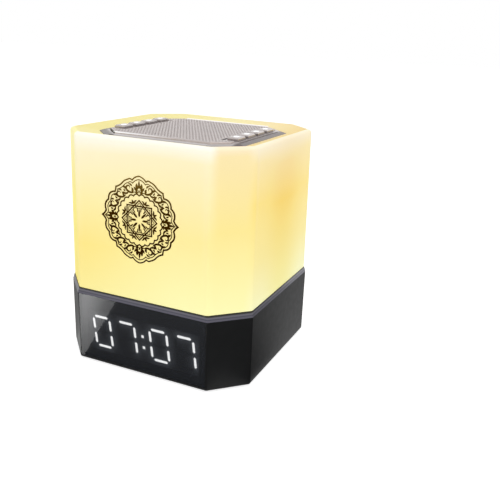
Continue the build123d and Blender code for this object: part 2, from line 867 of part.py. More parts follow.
def light_chips():
    """Light-emitting diodes round the light board."""
    side = either_side(0, light_size)
    chip = slab(side, side, (light_board_z1, light_board_z1 + light_height))
    chip = chamfer(chip.faces().sort_by(Axis.Z)[-1].edges(), light_bevel)
    places = around(light_count, light_circle)
    return group([Pos(x, y, 0) * Rot(0, 0, angle) * chip for x, y, angle in places])


# ---- control panel, grille and keys ----
def grille_outline(inset=0.0):
    """Outline of the grille: an octagon with a notch for each row of keys."""
    face = octagon(grille_width, grille_cut, inset)
    notch_x = island_x - island_width / 2 - island_gap - inset
    notch_y = island_length + 2 * (island_gap + inset)
    reach = grille_width / 2 - notch_x
    for side in (-1, 1):
        face -= Pos(side * (notch_x + reach / 2), 0) * Rectangle(reach, notch_y)
    return face


def perforation_places():
    """Centres of the grille's holes: staggered rows inside the outline."""
    row_step = hole_pitch * math.sqrt(3) / 2
    reach = grille_width / 2 - hole_margin
    diagonal = grille_width - grille_cut - hole_margin * math.sqrt(2)
    notch_x = island_x - island_width / 2 - island_gap - hole_margin
    notch_y = island_length / 2 + island_gap + hole_margin
    rows = int(reach / row_step)
    columns = int(reach / hole_pitch) + 1
    places = []
    for row in range(-rows, rows + 1):
        y = row * row_step
        for column in range(-columns, columns + 1):
            x = (column + (row % 2) / 2) * hole_pitch
            beside_keys = abs(x) > notch_x and abs(y) < notch_y
            if abs(x) <= reach and abs(x) + abs(y) <= diagonal and not beside_keys:
                places.append((x, y))
    return places


def pierced(face, z, places):
    """A flat face with a round hole at each place."""
    rings = [Wire.make_circle(hole_radius, Plane((x, y, z))) for x, y in places]
    return Face(face.outer_wire(), rings)


def speaker_grille():
    """Perforated sheet over the speaker, seated in the control panel."""
    z0 = panel_z - grille_seat
    z1 = z0 + grille_thickness
    sheet = prism(grille_outline(), z0, z1)
    sheet = fillet(sheet.faces().sort_by(Axis.Z)[-1].edges(), grille_edge)
    lower, *sides, upper = sheet.faces().sort_by(Axis.Z)
    places = perforation_places()
    walls = []
    for x, y in places:
        disc = Face(Wire.make_circle(hole_radius, Plane((x, y, z0))))
        walls += Solid.extrude(disc, Vector(0, 0, z1 - z0)).faces().filter_by(GeomType.CYLINDER)
    return Solid(Shell(sides + walls + [pierced(upper, z1, places), pierced(lower, z0, places)]))


def key_places():
    """Name and place of every key."""
    places = {}
    for side, sign in (("left", -1), ("right", 1)):
        for i in range(key_count):
            places[f"key_{side}_{i + 1}"] = (sign * island_x, (i - (key_count - 1) / 2) * key_pitch)
    return places


def key_post_places():
    """Places of the posts that carry the two key boards."""
    return corners(island_x, key_post_place)


def speaker_screw_places():
    """Places of the four speaker screws."""
    return [(x, y) for x, y, _ in around(4, speaker_screw_circle, 45)]


def panel_skirt_ring():
    """Skirt under the panel, with four hooks that snap under the shade's ledge."""
    inset = ledge_width + panel_clearance
    skirt_z0 = panel_z0 - panel_skirt
    skirt = prism(octagon(panel_width, panel_cut, inset), skirt_z0, panel_z0)
    skirt -= prism(octagon(panel_width, panel_cut, inset + panel_skirt_wall), skirt_z0, panel_z0)
    edge = panel_width / 2 - inset
    hook = slab(either_side(0, hook_width), (edge - panel_skirt_wall, edge + hook_reach),
                (ledge_z0 - hook_height, ledge_z0))
    for quarter in range(4):
        skirt += Rot(0, 0, 90 * quarter) * hook
    return skirt


def control_panel():
    """Silver panel: recess for the grille, raised islands with key windows, skirt, posts and speaker seat."""
    panel = prism(octagon(panel_width, panel_cut), panel_z0, panel_edge_z)
    panel += drafted(octagon(panel_width, panel_cut), panel_edge_z,
                     octagon(panel_width, panel_cut, panel_bevel_width), panel_z)
    panel += panel_skirt_ring()
    panel -= prism(grille_outline(-grille_clearance), panel_z - grille_seat, panel_z)
    for side in (-1, 1):
        panel += slab(either_side(side * island_x, island_width), either_side(0, island_length),
                      (panel_z0, panel_z + island_rise))
    for x, y in key_places().values():
        panel -= slab(either_side(x, key_width + 2 * key_gap), either_side(y, key_length + 2 * key_gap),
                      (panel_z0, panel_z + island_rise))
    for x, y in key_post_places():
        panel += rod(x, y, key_board_z1, panel_z0, panel_post_radius)
        panel -= rod(x, y, key_board_z1, panel_z0, small_shank + pilot_clearance)
    panel += rod(0, 0, speaker_z, panel_z0, flange_radius)
    panel -= rod(0, 0, speaker_z, panel_z, sound_radius)
    for x, y in speaker_screw_places():
        panel -= rod(x, y, speaker_z, flange_z0 + speaker_screw_length, small_shank + pilot_clearance)
    return panel


def key(x, y):
    """A key with its lip and post, and below it the stem of the switch that it presses."""
    cap = slab(either_side(x, key_width), either_side(y, key_length), (panel_z0, panel_z + key_rise))
    cap = chamfer(cap.faces().sort_by(Axis.Z)[-1].edges(), key_bevel)
    lip_z0 = panel_z0 - key_lip_thickness
    lip = slab(either_side(x, key_width + 2 * key_lip), either_side(y, key_length + 2 * key_lip),
               (lip_z0, panel_z0))
    post = rod(x, y, lip_z0 - key_post_length, lip_z0, key_post_radius)
    stem = rod(x, y, switch_top_z - stem_in, switch_top_z + stem_out, stem_radius)
    return group([cap + lip + post, stem])


def tact_switches():
    """Bodies of the key switches, each with a well for its stem."""
    well_z0 = switch_top_z - stem_in - key_travel - stem_clearance
    switches = []
    for x, y in key_places().values():
        body = slab(either_side(x, tact_size), either_side(y, tact_size), (key_board_z1, switch_top_z))
        switches.append(body - rod(x, y, well_z0, switch_top_z, stem_radius + stem_clearance))
    return group(switches)


def key_board(side):
    """Narrow circuit board under one row of keys."""
    board = slab(either_side(side * island_x, key_board_width), either_side(0, key_board_length),
                 (key_board_z0, key_board_z1))
    for x, y in key_post_places():
        board -= rod(x, y, key_board_z0, key_board_z1, small_shank + pilot_clearance)
    return board


def key_board_screws():
    """Four small screws that hold the key boards to the panel's posts."""
    return group([small_screw(Pos(x, y, key_board_z0), key_screw_length) for x, y in key_post_places()])


# ---- speaker ----
def speaker_basket():
    """Pressed frame of the speaker, with windows in its sloping wall."""
    foot, mouth = basket_foot_radius, basket_mouth_radius
    throat = coil_outer_radius + coil_gap
    floor = basket_z0 + basket_wall
    frame = spun([(mouth, speaker_z), (flange_radius, speaker_z), (flange_radius, flange_z0),
                  (mouth + basket_wall, flange_z0), (foot, basket_z0), (throat, basket_z0), (throat, floor),
                  (foot - basket_wall, floor), (mouth, flange_z0)])
    window = slab((foot - 2 * basket_wall, flange_radius), either_side(0, basket_window_width),
                  (floor + spider_rise, flange_z0 - 2 * basket_wall))
    for _, _, angle in around(basket_windows, 1, 180 / basket_windows):
        frame -= Rot(0, 0, angle) * window
    for x, y in speaker_screw_places():
        frame -= rod(x, y, flange_z0, speaker_z, small_shank + pilot_clearance)
    return frame


def speaker_screws():
    """Four small screws through the speaker's flange into the panel."""
    return group([small_screw(Pos(x, y, flange_z0), speaker_screw_length) for x, y in speaker_screw_places()])


def speaker_top_plate():
    """Steel washer between the basket and the magnet."""
    return tube(top_plate_z0, basket_z0, top_plate_radius, coil_outer_radius + coil_gap)


def speaker_magnet():
    """Ring magnet of the speaker."""
    return tube(magnet_z0, top_plate_z0, magnet_radius, magnet_hole_radius)


def speaker_yoke():
    """Back plate and pole of the magnet system."""
    return rod(0, 0, yoke_z0, magnet_z0, yoke_radius) + rod(0, 0, magnet_z0, basket_z0, pole_radius)


def voice_coil():
    """Coil former with its winding, in the magnet's gap."""
    return tube(coil_z1 - coil_length, coil_z1, coil_outer_radius, coil_inner_radius)


def speaker_cone():
    """Paper cone from the coil former to the surround."""
    return spun([(coil_outer_radius, coil_z1 - cone_wall), (cone_radius, surround_z1 - cone_wall),
                 (cone_radius, surround_z1), (coil_outer_radius, coil_z1)])


def dust_cap():
    """Shallow dome over the coil former."""
    radius, rise = coil_outer_radius, dust_cap_rise
    sphere = (radius ** 2 + rise ** 2) / (2 * rise)
    dome = Sphere(sphere) - Sphere(sphere - cone_wall)
    side = either_side(0, 2 * radius)
    return Pos(0, 0, coil_z1 + rise - sphere) * dome & slab(side, side, (coil_z1, coil_z1 + rise))


def cone_surround():
    """Rubber half roll between the cone and the basket."""
    r0, r1 = cone_radius + glue_gap, basket_mouth_radius
    middle = (r0 + r1) / 2
    z0 = surround_z1 - surround_wall
    outline = [
        ThreePointArc((r0, 0, surround_z1), (middle, 0, surround_z1 + surround_height), (r1, 0, surround_z1)),
        Line((r1, 0, surround_z1), (r1, 0, z0)),
        ThreePointArc((r1, 0, z0), (middle, 0, z0 + surround_height), (r0, 0, z0)),
        Line((r0, 0, z0), (r0, 0, surround_z1)),
    ]
    return revolve(make_face(outline), axis=Axis.Z)


def cone_spider():
    """Corrugated ring that centres the coil."""
    z = basket_z0 + spider_rise
    r0, r1 = coil_outer_radius + glue_gap, basket_foot_radius - basket_wall
    folds = 2 * spider_waves
    lower = [(r0 + i * (r1 - r0) / folds, z + (i % 2) * spider_wave) for i in range(folds + 1)]
    upper = [(r, level + spider_thickness) for r, level in reversed(lower)]
    return spun(lower + upper)


def spider_seat():
    """Ring that holds the spider's outer edge above the basket's floor."""
    outer = basket_foot_radius - basket_wall
    return tube(basket_z0 + basket_wall, basket_z0 + spider_rise, outer, outer - spider_ledge)


# ---- wires ----
def speaker_leads():
    """Two wires from the basket through the core tower to the main board."""
    terminal_z = basket_z0 + terminal_rise
    slope = (basket_mouth_radius + basket_wall - basket_foot_radius) / basket_depth
    terminal_y = basket_foot_radius + slope * terminal_rise + small_shank / 2
    window_z = tower_window_z1 - tower_window_height / 2
    drop_y = flange_radius + 2
    inside_y = wire_hole_radius / 2
    leads = []
    for x in either_side(0, wire_spacing):
        points = [(x, terminal_y, terminal_z), (x, drop_y, terminal_z), (x, drop_y, window_z + 4),
                  (x, inside_y, window_z - 5), (x, inside_y, deck_z0 - 4), (x, connector_y, deck_z0 - 12),
                  (x, connector_y, connector_z1)]
        leads.append(wire(points, wire_radius))
    return group(leads)


def key_cables():
    """Two round cables from the key boards through the tower to the main board."""
    window_z = tower_window_z1 - tower_window_height / 2
    start_y = island_length / 2 - key_length
    inside_y = wire_hole_radius / 4
    cables = []
    for name, side in (("left_keys", -1), ("right_keys", 1)):
        x = side * cable_spacing / 2
        end_x = connector_x[name]
        points = [(side * island_x, start_y, key_board_z0), (side * island_x, start_y, key_board_z0 - 14),
                  (x, tower_radius + 9, window_z + 3), (x, inside_y, window_z - 7),
                  (x, inside_y, deck_z0 - 4), (end_x, connector_y, deck_z0 - 14),
                  (end_x, connector_y, connector_z1)]
        cables.append(wire(points, cable_radius))
    return group(cables)


def battery_leads():
    """Two wires from the cell's cradle to the main board."""
    start_y = cell_y + cell_radius + cradle_clearance + cradle_wall / 2
    start_z = plate_z1 + cradle_height
    leads = []
    for x in either_side(connector_x["battery"], wire_spacing):
        points = [(x, start_y, start_z), (x, start_y, start_z + 12), (x, connector_y, start_z + 10),
                  (x, connector_y, connector_z1)]
        leads.append(wire(points, wire_radius))
    return group(leads)


def display_cable():
    """Cable from the display board over the battery to the main board."""
    x = connector_x["display"]
    start_y = module_y1 + board_thickness
    top = cell_z + cell_radius + 6
    points = [(x, start_y, digits_z + 6), (x, start_y + 9, digits_z + 6), (x, cell_y, top),
              (x, connector_y, top - 1), (x, connector_y, connector_z1)]
    return wire(points, cable_radius)


# ---- all nodes ----
def all_nodes():
    """Every named node of the clock."""
    nodes = {
        "lamp_shade": lamp_shade(),
        "trim_ring": trim_ring(),
        "trim_ring_screws": ring_screws(),
        "base_shell": base_shell(),
        "base_plate": base_plate(),
        "base_plate_screws": plate_screws(),
        "rubber_feet": rubber_feet(),
        "front_lens": front_lens(),
        "display_housing": display_housing(),
        "lit_segments": group(light_bars(display_outlines()[0])),
        "dark_segments": group(light_bars(display_outlines()[1])),
        "display_board": display_board(),
        "display_screws": display_screws(),
        "remote_receiver": remote_receiver(),
        "main_board": main_board(),
        "main_board_screws": main_board_screws(),
        "board_chips": board_chips(),
        "board_capacitors": board_capacitors(),
        "board_connectors": board_connectors(),
        "charging_socket": charging_socket(),
        "headphone_socket": headphone_socket(),
        "card_socket": card_socket(),
        "memory_card": memory_card(),
        "power_switch_body": power_switch_body(),
        "power_switch_knob": power_switch_knob(),
        "battery_cell": battery_cell(),
        "battery_cradle": battery_cradle(),
        "core_tower": core_tower(),
        "core_tower_screws": core_tower_screws(),
        "light_board": light_board(),
        "light_chips": light_chips(),
        "control_panel": control_panel(),
        "speaker_grille": speaker_grille(),
        "tact_switches": tact_switches(),
        "left_key_board": key_board(-1),
        "right_key_board": key_board(1),
        "key_board_screws": key_board_screws(),
        "speaker_basket": speaker_basket(),
        "speaker_screws": speaker_screws(),
        "speaker_top_plate": speaker_top_plate(),
        "speaker_magnet": speaker_magnet(),
        "speaker_yoke": speaker_yoke(),
        "voice_coil": voice_coil(),
        "speaker_cone": speaker_cone(),
        "dust_cap": dust_cap(),
        "cone_surround": cone_surround(),
        "cone_spider": cone_spider(),
        "spider_seat": spider_seat(),
        "speaker_leads": speaker_leads(),
        "key_cables": key_cables(),
        "battery_leads": battery_leads(),
        "display_cable": display_cable(),
    }
    for name, (x, y) in key_places().items():
        nodes[name] = key(x, y)
    return nodes


def main():
    """Writes one STEP file for each node."""
    os.makedirs("parts", exist_ok=True)
    for name, shape in all_nodes().items():
        export_step(shape, f"parts/{name}.step")


main()
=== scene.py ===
"""Looks of the azan clock: a lit cube lamp with a clock in its dark base and a speaker in its top panel."""
import json
import logging
import math
from dataclasses import dataclass
from enum import Enum
from typing import Callable, Iterable, Sequence

import bmesh
import bpy
from mathutils import Matrix, Vector
from mathutils.kdtree import KDTree


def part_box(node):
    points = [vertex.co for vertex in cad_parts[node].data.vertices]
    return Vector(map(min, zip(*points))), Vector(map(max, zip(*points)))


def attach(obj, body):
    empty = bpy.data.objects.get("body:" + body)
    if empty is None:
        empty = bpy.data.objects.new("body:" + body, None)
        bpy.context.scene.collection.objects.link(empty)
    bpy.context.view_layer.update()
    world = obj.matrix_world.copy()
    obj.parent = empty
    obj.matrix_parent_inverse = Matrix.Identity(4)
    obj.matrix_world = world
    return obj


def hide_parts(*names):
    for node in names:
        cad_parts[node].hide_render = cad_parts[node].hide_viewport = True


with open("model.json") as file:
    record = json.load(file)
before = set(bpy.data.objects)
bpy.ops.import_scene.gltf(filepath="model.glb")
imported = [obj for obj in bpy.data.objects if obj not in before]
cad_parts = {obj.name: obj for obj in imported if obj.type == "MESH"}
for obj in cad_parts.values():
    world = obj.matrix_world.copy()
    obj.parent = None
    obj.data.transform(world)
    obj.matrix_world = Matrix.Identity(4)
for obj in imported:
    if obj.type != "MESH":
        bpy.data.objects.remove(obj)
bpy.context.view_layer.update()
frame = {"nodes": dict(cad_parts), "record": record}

MM = 0.001
BODY = "clock_body"
NEAR = 1e-5  # distances under this, in metres, and sums of directions under this count as none
BROADEST_BEND = 1.6  # width of a drawn line at its sharpest bends, as a share of its width elsewhere
LEAF_ENDS = 0.06  # a leaf's width at either end, as a share of its widest part
GLOSS_PATCH = 0.6  # size of a finish's patches of gloss, as a share of its patches of colour
SMOOTHEST = 0.02  # least roughness of a finish
TINT_SPAN = (0.3, 0.75)  # values of the noise at which a finish has its colour, and its tint

Color = tuple[float, float, float, float]
Point2 = tuple[float, float]
Point3 = tuple[float, float, float]
Leaf = tuple[float, float, tuple[Point2, ...]]
Stops = tuple[tuple[float, str], ...]
Tree = bpy.types.NodeTree
Node = bpy.types.Node
Socket = bpy.types.NodeSocket
Material = bpy.types.Material
Mesh = bpy.types.Mesh
Object = bpy.types.Object
BMesh = bmesh.types.BMesh
BMVert = bmesh.types.BMVert
log = logging.getLogger("azan_clock")


# ---------------------------------------------------------------- colours and nodes
def linear(hex_code: str) -> Color:
    """Turns an sRGB hex colour into linear light.

    Args:
        hex_code: the colour, such as "#FFEEAA".

    Returns:
        Red, green and blue in linear light, and 1 for opaque.
    """
    values = [int(hex_code[i:i + 2], 16) / 255 for i in (1, 3, 5)]
    red, green, blue = (v / 12.92 if v <= 0.04045 else ((v + 0.055) / 1.055) ** 2.4 for v in values)
    return red, green, blue, 1.0


def add_node(tree: Tree, kind: str, inputs: dict | None = None, stops: Stops = (), **settings: object) -> Node:
    """Adds a node with its settings and links.

    Args:
        tree: the tree that gets the node.
        kind: Blender's name of the node's class.
        inputs: input sockets by name or number, each with a value, or with the output socket that it is linked
            to, or with the node whose first output it is linked to.
        stops: (place, hex colour) of each stop of a colour ramp, lowest first.
        **settings: attributes of the node.

    Returns:
        The new node.
    """
    node = tree.nodes.new(kind)
    for name, value in settings.items():
        setattr(node, name, value)
    for name, value in (inputs or {}).items():
        if isinstance(value, Node):
            value = value.outputs[0]
        if isinstance(value, Socket):
            tree.links.new(value, node.inputs[name])
        else:
            node.inputs[name].default_value = value
    for i, (place, code) in enumerate(stops):
        elements = node.color_ramp.elements
        element = elements[i] if i < len(elements) else elements.new(place)
        element.position = place
        element.color = linear(code)
    return node


def fresh_tree(owner: Material | bpy.types.World) -> Tree:
    """Empties a node tree.

    Args:
        owner: the material or the world that it belongs to.

    Returns:
        The tree.
    """
    owner.use_nodes = True
    owner.node_tree.nodes.clear()
    return owner.node_tree


# ---------------------------------------------------------------- finishes
@dataclass(frozen=True)
class Grain:
    """Fine relief of a surface.

    Fields:
        size: width of one bump, in millimetres.
        depth: height of the bumps, in millimetres.
        stretch: how much longer the bumps are along X.
    """

    size: float = 0.6
    depth: float = 0.01
    stretch: float = 1.0


@dataclass(frozen=True)
class Finish:
    """A surface finish: a Principled shader with mottled colour, uneven gloss and fine relief."""

    name: str
    color: str
    tint: str = ""
    roughness: float = 0.5
    metallic: float = 0.0
    ior: float = 1.5
    specular: float = 0.5
    coat: float = 0.0
    patch: float = 6.0
    gloss_spread: float = 0.06
    grain: Grain | None = Grain()
    edge: float = 0.0

    def place(self, tree: Tree) -> Socket:
        """Position on the object, in metres."""
        return add_node(tree, "ShaderNodeTexCoord").outputs["Object"]

    def noise(self, tree: Tree, size: float, stretch: float = 1.0, detail: float = 3.0) -> Socket:
        """Adds a noise pattern.

        Args:
            tree: the material's tree.
            size: width of one patch, in millimetres.
            stretch: how much longer the patches are along X.
            detail: octaves of finer noise.

        Returns:
            The noise's value, from 0 to 1.
        """
        scaled = add_node(tree, "ShaderNodeMapping", {"Vector": self.place(tree), "Scale": (1 / stretch, 1, 1)})
        wave = add_node(tree, "ShaderNodeTexNoise", {"Vector": scaled, "Scale": 1 / (size * MM), "Detail": detail})
        return wave.outputs["Fac"]

    def axes(self, tree: Tree) -> tuple[Socket, Socket, Socket]:
        """Position on the object along X, Y and Z, in metres."""
        return tuple(add_node(tree, "ShaderNodeSeparateXYZ", {"Vector": self.place(tree)}).outputs)

    def outwards(self, tree: Tree) -> tuple[Socket, Socket]:
        """Distance from the object's middle along X, and along Y, in metres."""
        return tuple(add_node(tree, "ShaderNodeMath", {0: axis}, operation="ABSOLUTE").outputs[0]
                     for axis in self.axes(tree)[:2])

    def fade(self, tree: Tree, value: Socket, span: tuple[float, float], smooth: bool = True) -> Socket:
        """Share of the way from one distance to another.

        Args:
            tree: the material's tree.
            value: distance, in metres.
            span: where the share is 0 and where it is 1, in millimetres.
            smooth: whether the share starts and ends softly.

        Returns:
            The share, from 0 to 1.
        """
        share = add_node(tree, "ShaderNodeMapRange", {
            "Value": value, "From Min": span[0] * MM, "From Max": span[1] * MM},
            interpolation_type="SMOOTHSTEP" if smooth else "LINEAR")
        return share.outputs["Result"]

    def blended(self, tree: Tree, share: Socket, first: Socket | Color, second: Socket | Color) -> Socket:
        """Colour between two colours, the first where the share is 0."""
        return add_node(tree, "ShaderNodeMix", {0: share, 6: first, 7: second}, data_type="RGBA").outputs[2]

    def base_color(self, tree: Tree) -> Socket:
        """Adds the finish's colour, with soft patches of its tint.

        Args:
            tree: the material's tree.

        Returns:
            The colour.
        """
        ramp = add_node(tree, "ShaderNodeValToRGB", {"Fac": self.noise(tree, self.patch)},
                        stops=((TINT_SPAN[0], self.color), (TINT_SPAN[1], self.tint or self.color)))
        return ramp.outputs["Color"]

    def relief(self, tree: Tree) -> Socket | None:
        """Adds rounded edges and fine grain.

        Args:
            tree: the material's tree.

        Returns:
            The surface's normal, or None for a smooth one.
        """
        normal = None
        if self.edge:
            normal = add_node(tree, "ShaderNodeBevel", {"Radius": self.edge * MM}, samples=4).outputs["Normal"]
        if self.grain:
            inputs = {"Height": self.noise(tree, self.grain.size, self.grain.stretch), "Strength": 1.0,
                      "Distance": self.grain.depth * MM}
            if normal:
                inputs["Normal"] = normal
            normal = add_node(tree, "ShaderNodeBump", inputs).outputs["Normal"]
        return normal

    def dress(self, tree: Tree, shader: Node) -> None:
        """Extra nodes of a special finish; a plain one has none."""

    def material(self) -> Material:
        """Makes the finish's material, once.

        Returns:
            The material, which all its pieces share.
        """
        known = bpy.data.materials.get(self.name)
        if known:
            return known
        made = bpy.data.materials.new(self.name)
        tree = fresh_tree(made)
        low = max(SMOOTHEST, self.roughness - self.gloss_spread)
        uneven = add_node(tree, "ShaderNodeMapRange", {
            "Value": self.noise(tree, self.patch * GLOSS_PATCH), "To Min": low,
            "To Max": self.roughness + self.gloss_spread})
        inputs = {"Base Color": self.base_color(tree), "Roughness": uneven, "Metallic": self.metallic,
                  "IOR": self.ior, "Specular IOR Level": self.specular, "Coat Weight": self.coat}
        normal = self.relief(tree)
        if normal:
            inputs["Normal"] = normal
        shader = add_node(tree, "ShaderNodeBsdfPrincipled", inputs)
        add_node(tree, "ShaderNodeOutputMaterial", {"Surface": shader})
        self.dress(tree, shader)
        return made


@dataclass(frozen=True)
class BandedPaint(Finish):
    """Colour that changes with height, in bands; on the ring and the keys the bands are painted shade and painted
    highlights.
    """

    low: float = 0.0
    high: float = 1.0
    bands: Stops = ((0.0, "#000000"), (1.0, "#FFFFFF"))

    def height_share(self, tree: Tree) -> Socket:
        """Height between low and high, from 0 to 1."""
        return self.fade(tree, self.axes(tree)[2], (self.low, self.high), smooth=False)

    def base_color(self, tree: Tree) -> Socket:
        """Colour of the band at each height."""
        ramp = add_node(tree, "ShaderNodeValToRGB", {"Fac": self.height_share(tree)}, stops=self.bands)
        return ramp.outputs["Color"]


@dataclass(frozen=True)
class MilkyAcrylic(BandedPaint):
    """Opal acrylic lit from inside.

    Its colour runs from cream under the rim to light yellow at the seat. It is deeper in the middle of either
    side, where the lamp is farther off, and yellow-olive on the thick rim, which lets little light out. It also
    holds painted light of the outer lamps: painted shade as a darker tone on the corner cuts and a deeper yellow
    on the left one, a painted highlight as a paler tint along the edges of the corner cuts, and amber painted
    shade at the right end of the rim. Distances are millimetres on the part.
    """

    corner_bands: Stops = ()
    side_bands: Stops = ()
    middle_bands: Stops = ()
    chamfer_bands: Stops = ()
    left_bands: Stops = ()
    rim_bands: Stops = ()
    half_width: float = 57.2
    # painted highlight: a paler tint along the edges of the corner cuts, stronger higher up
    edge_tint: str = "#FFF8DC"
    edge_place: float = 18.8
    edge_reach: float = 3.0
    edge_strength: float = 0.1
    corner_span: tuple[float, float] = (30.0, -46.0)
    side_span: tuple[float, float] = (45.0, 56.5)
    middle_span: tuple[float, float] = (34.0, 2.0)
    chamfer_span: tuple[float, float] = (17.8, 9.0)
    left_span: tuple[float, float] = (-36.0, -42.0)
    wave_size: float = 60.0
    wave: float = 0.08
    glow: float = 0.33
    rim_dimming: float = 0.4

    def base_color(self, tree: Tree) -> Socket:
        """Adds the colours of the lit acrylic, for its surface and for its light.

        Args:
            tree: the material's tree.

        Returns:
            The colour.
        """
        x = self.axes(tree)[0]
        out_x, out_y = self.outwards(tree)
        wave = add_node(tree, "ShaderNodeMath", {
            0: self.noise(tree, self.wave_size, detail=1.0), 1: self.wave, 2: -self.wave / 2},
            operation="MULTIPLY_ADD")
        height = add_node(tree, "ShaderNodeMath", {0: self.height_share(tree), 1: wave}, operation="ADD",
                          use_clamp=True)
        front, corner, side, middle, chamfer, left = (
            add_node(tree, "ShaderNodeValToRGB", {"Fac": height}, stops=stops).outputs["Color"]
            for stops in (self.bands, self.corner_bands, self.side_bands, self.middle_bands, self.chamfer_bands,
                          self.left_bands))
        front = self.blended(tree, self.fade(tree, x, self.corner_span), front, corner)
        side = self.blended(tree, self.fade(tree, out_y, self.middle_span), side, middle)
        body = self.blended(tree, self.fade(tree, out_x, self.side_span), front, side)
        apart = add_node(tree, "ShaderNodeMath", {0: out_x, 1: out_y}, operation="SUBTRACT")
        apart = add_node(tree, "ShaderNodeMath", {0: apart}, operation="ABSOLUTE").outputs[0]
        # painted shade of the outer lamps: a darker tone on the corner cuts, and a deeper yellow on the left one
        chamfer = self.blended(tree, self.fade(tree, x, self.left_span), chamfer, left)
        body = self.blended(tree, self.fade(tree, apart, self.chamfer_span), body, chamfer)
        # painted highlight along the edges of the corner cuts
        from_edge = add_node(tree, "ShaderNodeMath", {0: apart, 1: self.edge_place * MM}, operation="SUBTRACT")
        from_edge = add_node(tree, "ShaderNodeMath", {0: from_edge}, operation="ABSOLUTE").outputs[0]
        near_edge = add_node(tree, "ShaderNodeMath", {
            0: self.fade(tree, from_edge, (self.edge_reach, 0.0)), 1: height}, operation="MULTIPLY")
        weak = add_node(tree, "ShaderNodeMath", {0: near_edge, 1: self.edge_strength}, operation="MULTIPLY")
        body = self.blended(tree, weak.outputs[0], body, linear(self.edge_tint))
        # the rim's colour across X; its amber at the right end is painted shade
        across = self.fade(tree, x, (-self.half_width, self.half_width), smooth=False)
        rim = add_node(tree, "ShaderNodeValToRGB", {"Fac": across}, stops=self.rim_bands)
        on_rim = add_node(tree, "ShaderNodeAttribute", attribute_name="rim")
        return self.blended(tree, on_rim.outputs["Fac"], body, rim.outputs["Color"])

    def dress(self, tree: Tree, shader: Node) -> None:
        """Adds the inner light, weak on the rim.

        Args:
            tree: the material's tree.
            shader: its Principled BSDF.
        """
        tree.links.new(shader.inputs["Base Color"].links[0].from_socket, shader.inputs["Emission Color"])
        rim = add_node(tree, "ShaderNodeAttribute", attribute_name="rim")
        light = add_node(tree, "ShaderNodeMath", {
            0: rim.outputs["Fac"], 1: -self.rim_dimming * self.glow, 2: self.glow}, operation="MULTIPLY_ADD")
        tree.links.new(light.outputs[0], shader.inputs["Emission Strength"])


def highlight(tree: Tree, shader: Node, mask: Socket, strength: float, light: str = "#FFFFFF") -> None:
    """Brightens part of a surface, such as a polished spot that catches the light.

    Args:
        tree: the material's node tree.
        shader: its Principled BSDF.
        mask: 1 on the bright part, and 0 elsewhere.
        strength: light added there, where 1 is white.
        light: its colour.
    """
    shader.inputs["Emission Color"].default_value = linear(light)
    added = add_node(tree, "ShaderNodeMath", {0: mask, 1: strength}, operation="MULTIPLY")
    tree.links.new(added.outputs[0], shader.inputs["Emission Strength"])


@dataclass(frozen=True)
class EdgedSheet(Finish):
    """Perforated sheet with a painted highlight along the left of its front margin, and painted shade on its front
    left corner and on the walls of the notch.
    """

    # the front margin glows a little as a painted highlight; the front left corner and the notch walls are painted
    # shade
    margin: str = "#FFFFFF"
    brightness: float = 0.3
    cut_end: str = "#1B1716"
    front_from: float = 35.9
    front_above: float = 127.75
    front_fade: tuple[float, float] = (8.0, -28.0)
    corner_from: float = 65.3
    notch: tuple[float, float] = (29.0, 29.35)
    notch_length: float = 51.0
    notch_darkness: float = 0.75

    def on_margin(self, tree: Tree) -> Socket:
        """Marks the front margin.

        Args:
            tree: the material's tree.

        Returns:
            1 at the left end of the front margin, and 0 past its middle and elsewhere.
        """
        x, y, z = self.axes(tree)
        at_front = add_node(tree, "ShaderNodeMath", {0: y, 1: -self.front_from * MM}, operation="LESS_THAN")
        above = add_node(tree, "ShaderNodeMath", {0: z, 1: self.front_above * MM}, operation="GREATER_THAN")
        front = add_node(tree, "ShaderNodeMath", {0: at_front, 1: above}, operation="MULTIPLY")
        leftwards = self.fade(tree, x, self.front_fade, smooth=False)
        return add_node(tree, "ShaderNodeMath", {0: front, 1: leftwards}, operation="MULTIPLY").outputs[0]

    def dress(self, tree: Tree, shader: Node) -> None:
        """Makes the margin glow a little: a painted highlight."""
        highlight(tree, shader, self.on_margin(tree), self.brightness)

    def base_color(self, tree: Tree) -> Socket:
        """Adds the colours of the sheet, the painted highlight of its margin and the painted shade of its corner and
        notch walls.

        Args:
            tree: the material's tree.

        Returns:
            The colour.
        """
        x, y, _ = self.axes(tree)
        bright = self.blended(tree, self.on_margin(tree), Finish.base_color(self, tree), linear(self.margin))
        # painted shade: dark on the front left corner, and on the notch walls beside the keys
        reach = add_node(tree, "ShaderNodeMath", {0: x, 1: y}, operation="ADD")
        corner = add_node(tree, "ShaderNodeMath", {0: reach, 1: -self.corner_from * MM}, operation="LESS_THAN")
        out_x, out_y = self.outwards(tree)
        middle, half = sum(self.notch) / 2 * MM, (self.notch[1] - self.notch[0]) / 2 * MM
        on_wall = add_node(tree, "ShaderNodeMath", {0: out_x, 1: middle, 2: half}, operation="COMPARE")
        in_notch = add_node(tree, "ShaderNodeMath", {0: out_y, 1: self.notch_length / 2 * MM},
                            operation="LESS_THAN")
        wall = add_node(tree, "ShaderNodeMath", {0: on_wall, 1: in_notch}, operation="MULTIPLY")
        cut = add_node(tree, "ShaderNodeMath", {0: wall, 1: self.notch_darkness, 2: corner},
                       operation="MULTIPLY_ADD", use_clamp=True)
        return self.blended(tree, cut.outputs[0], bright, linear(self.cut_end))


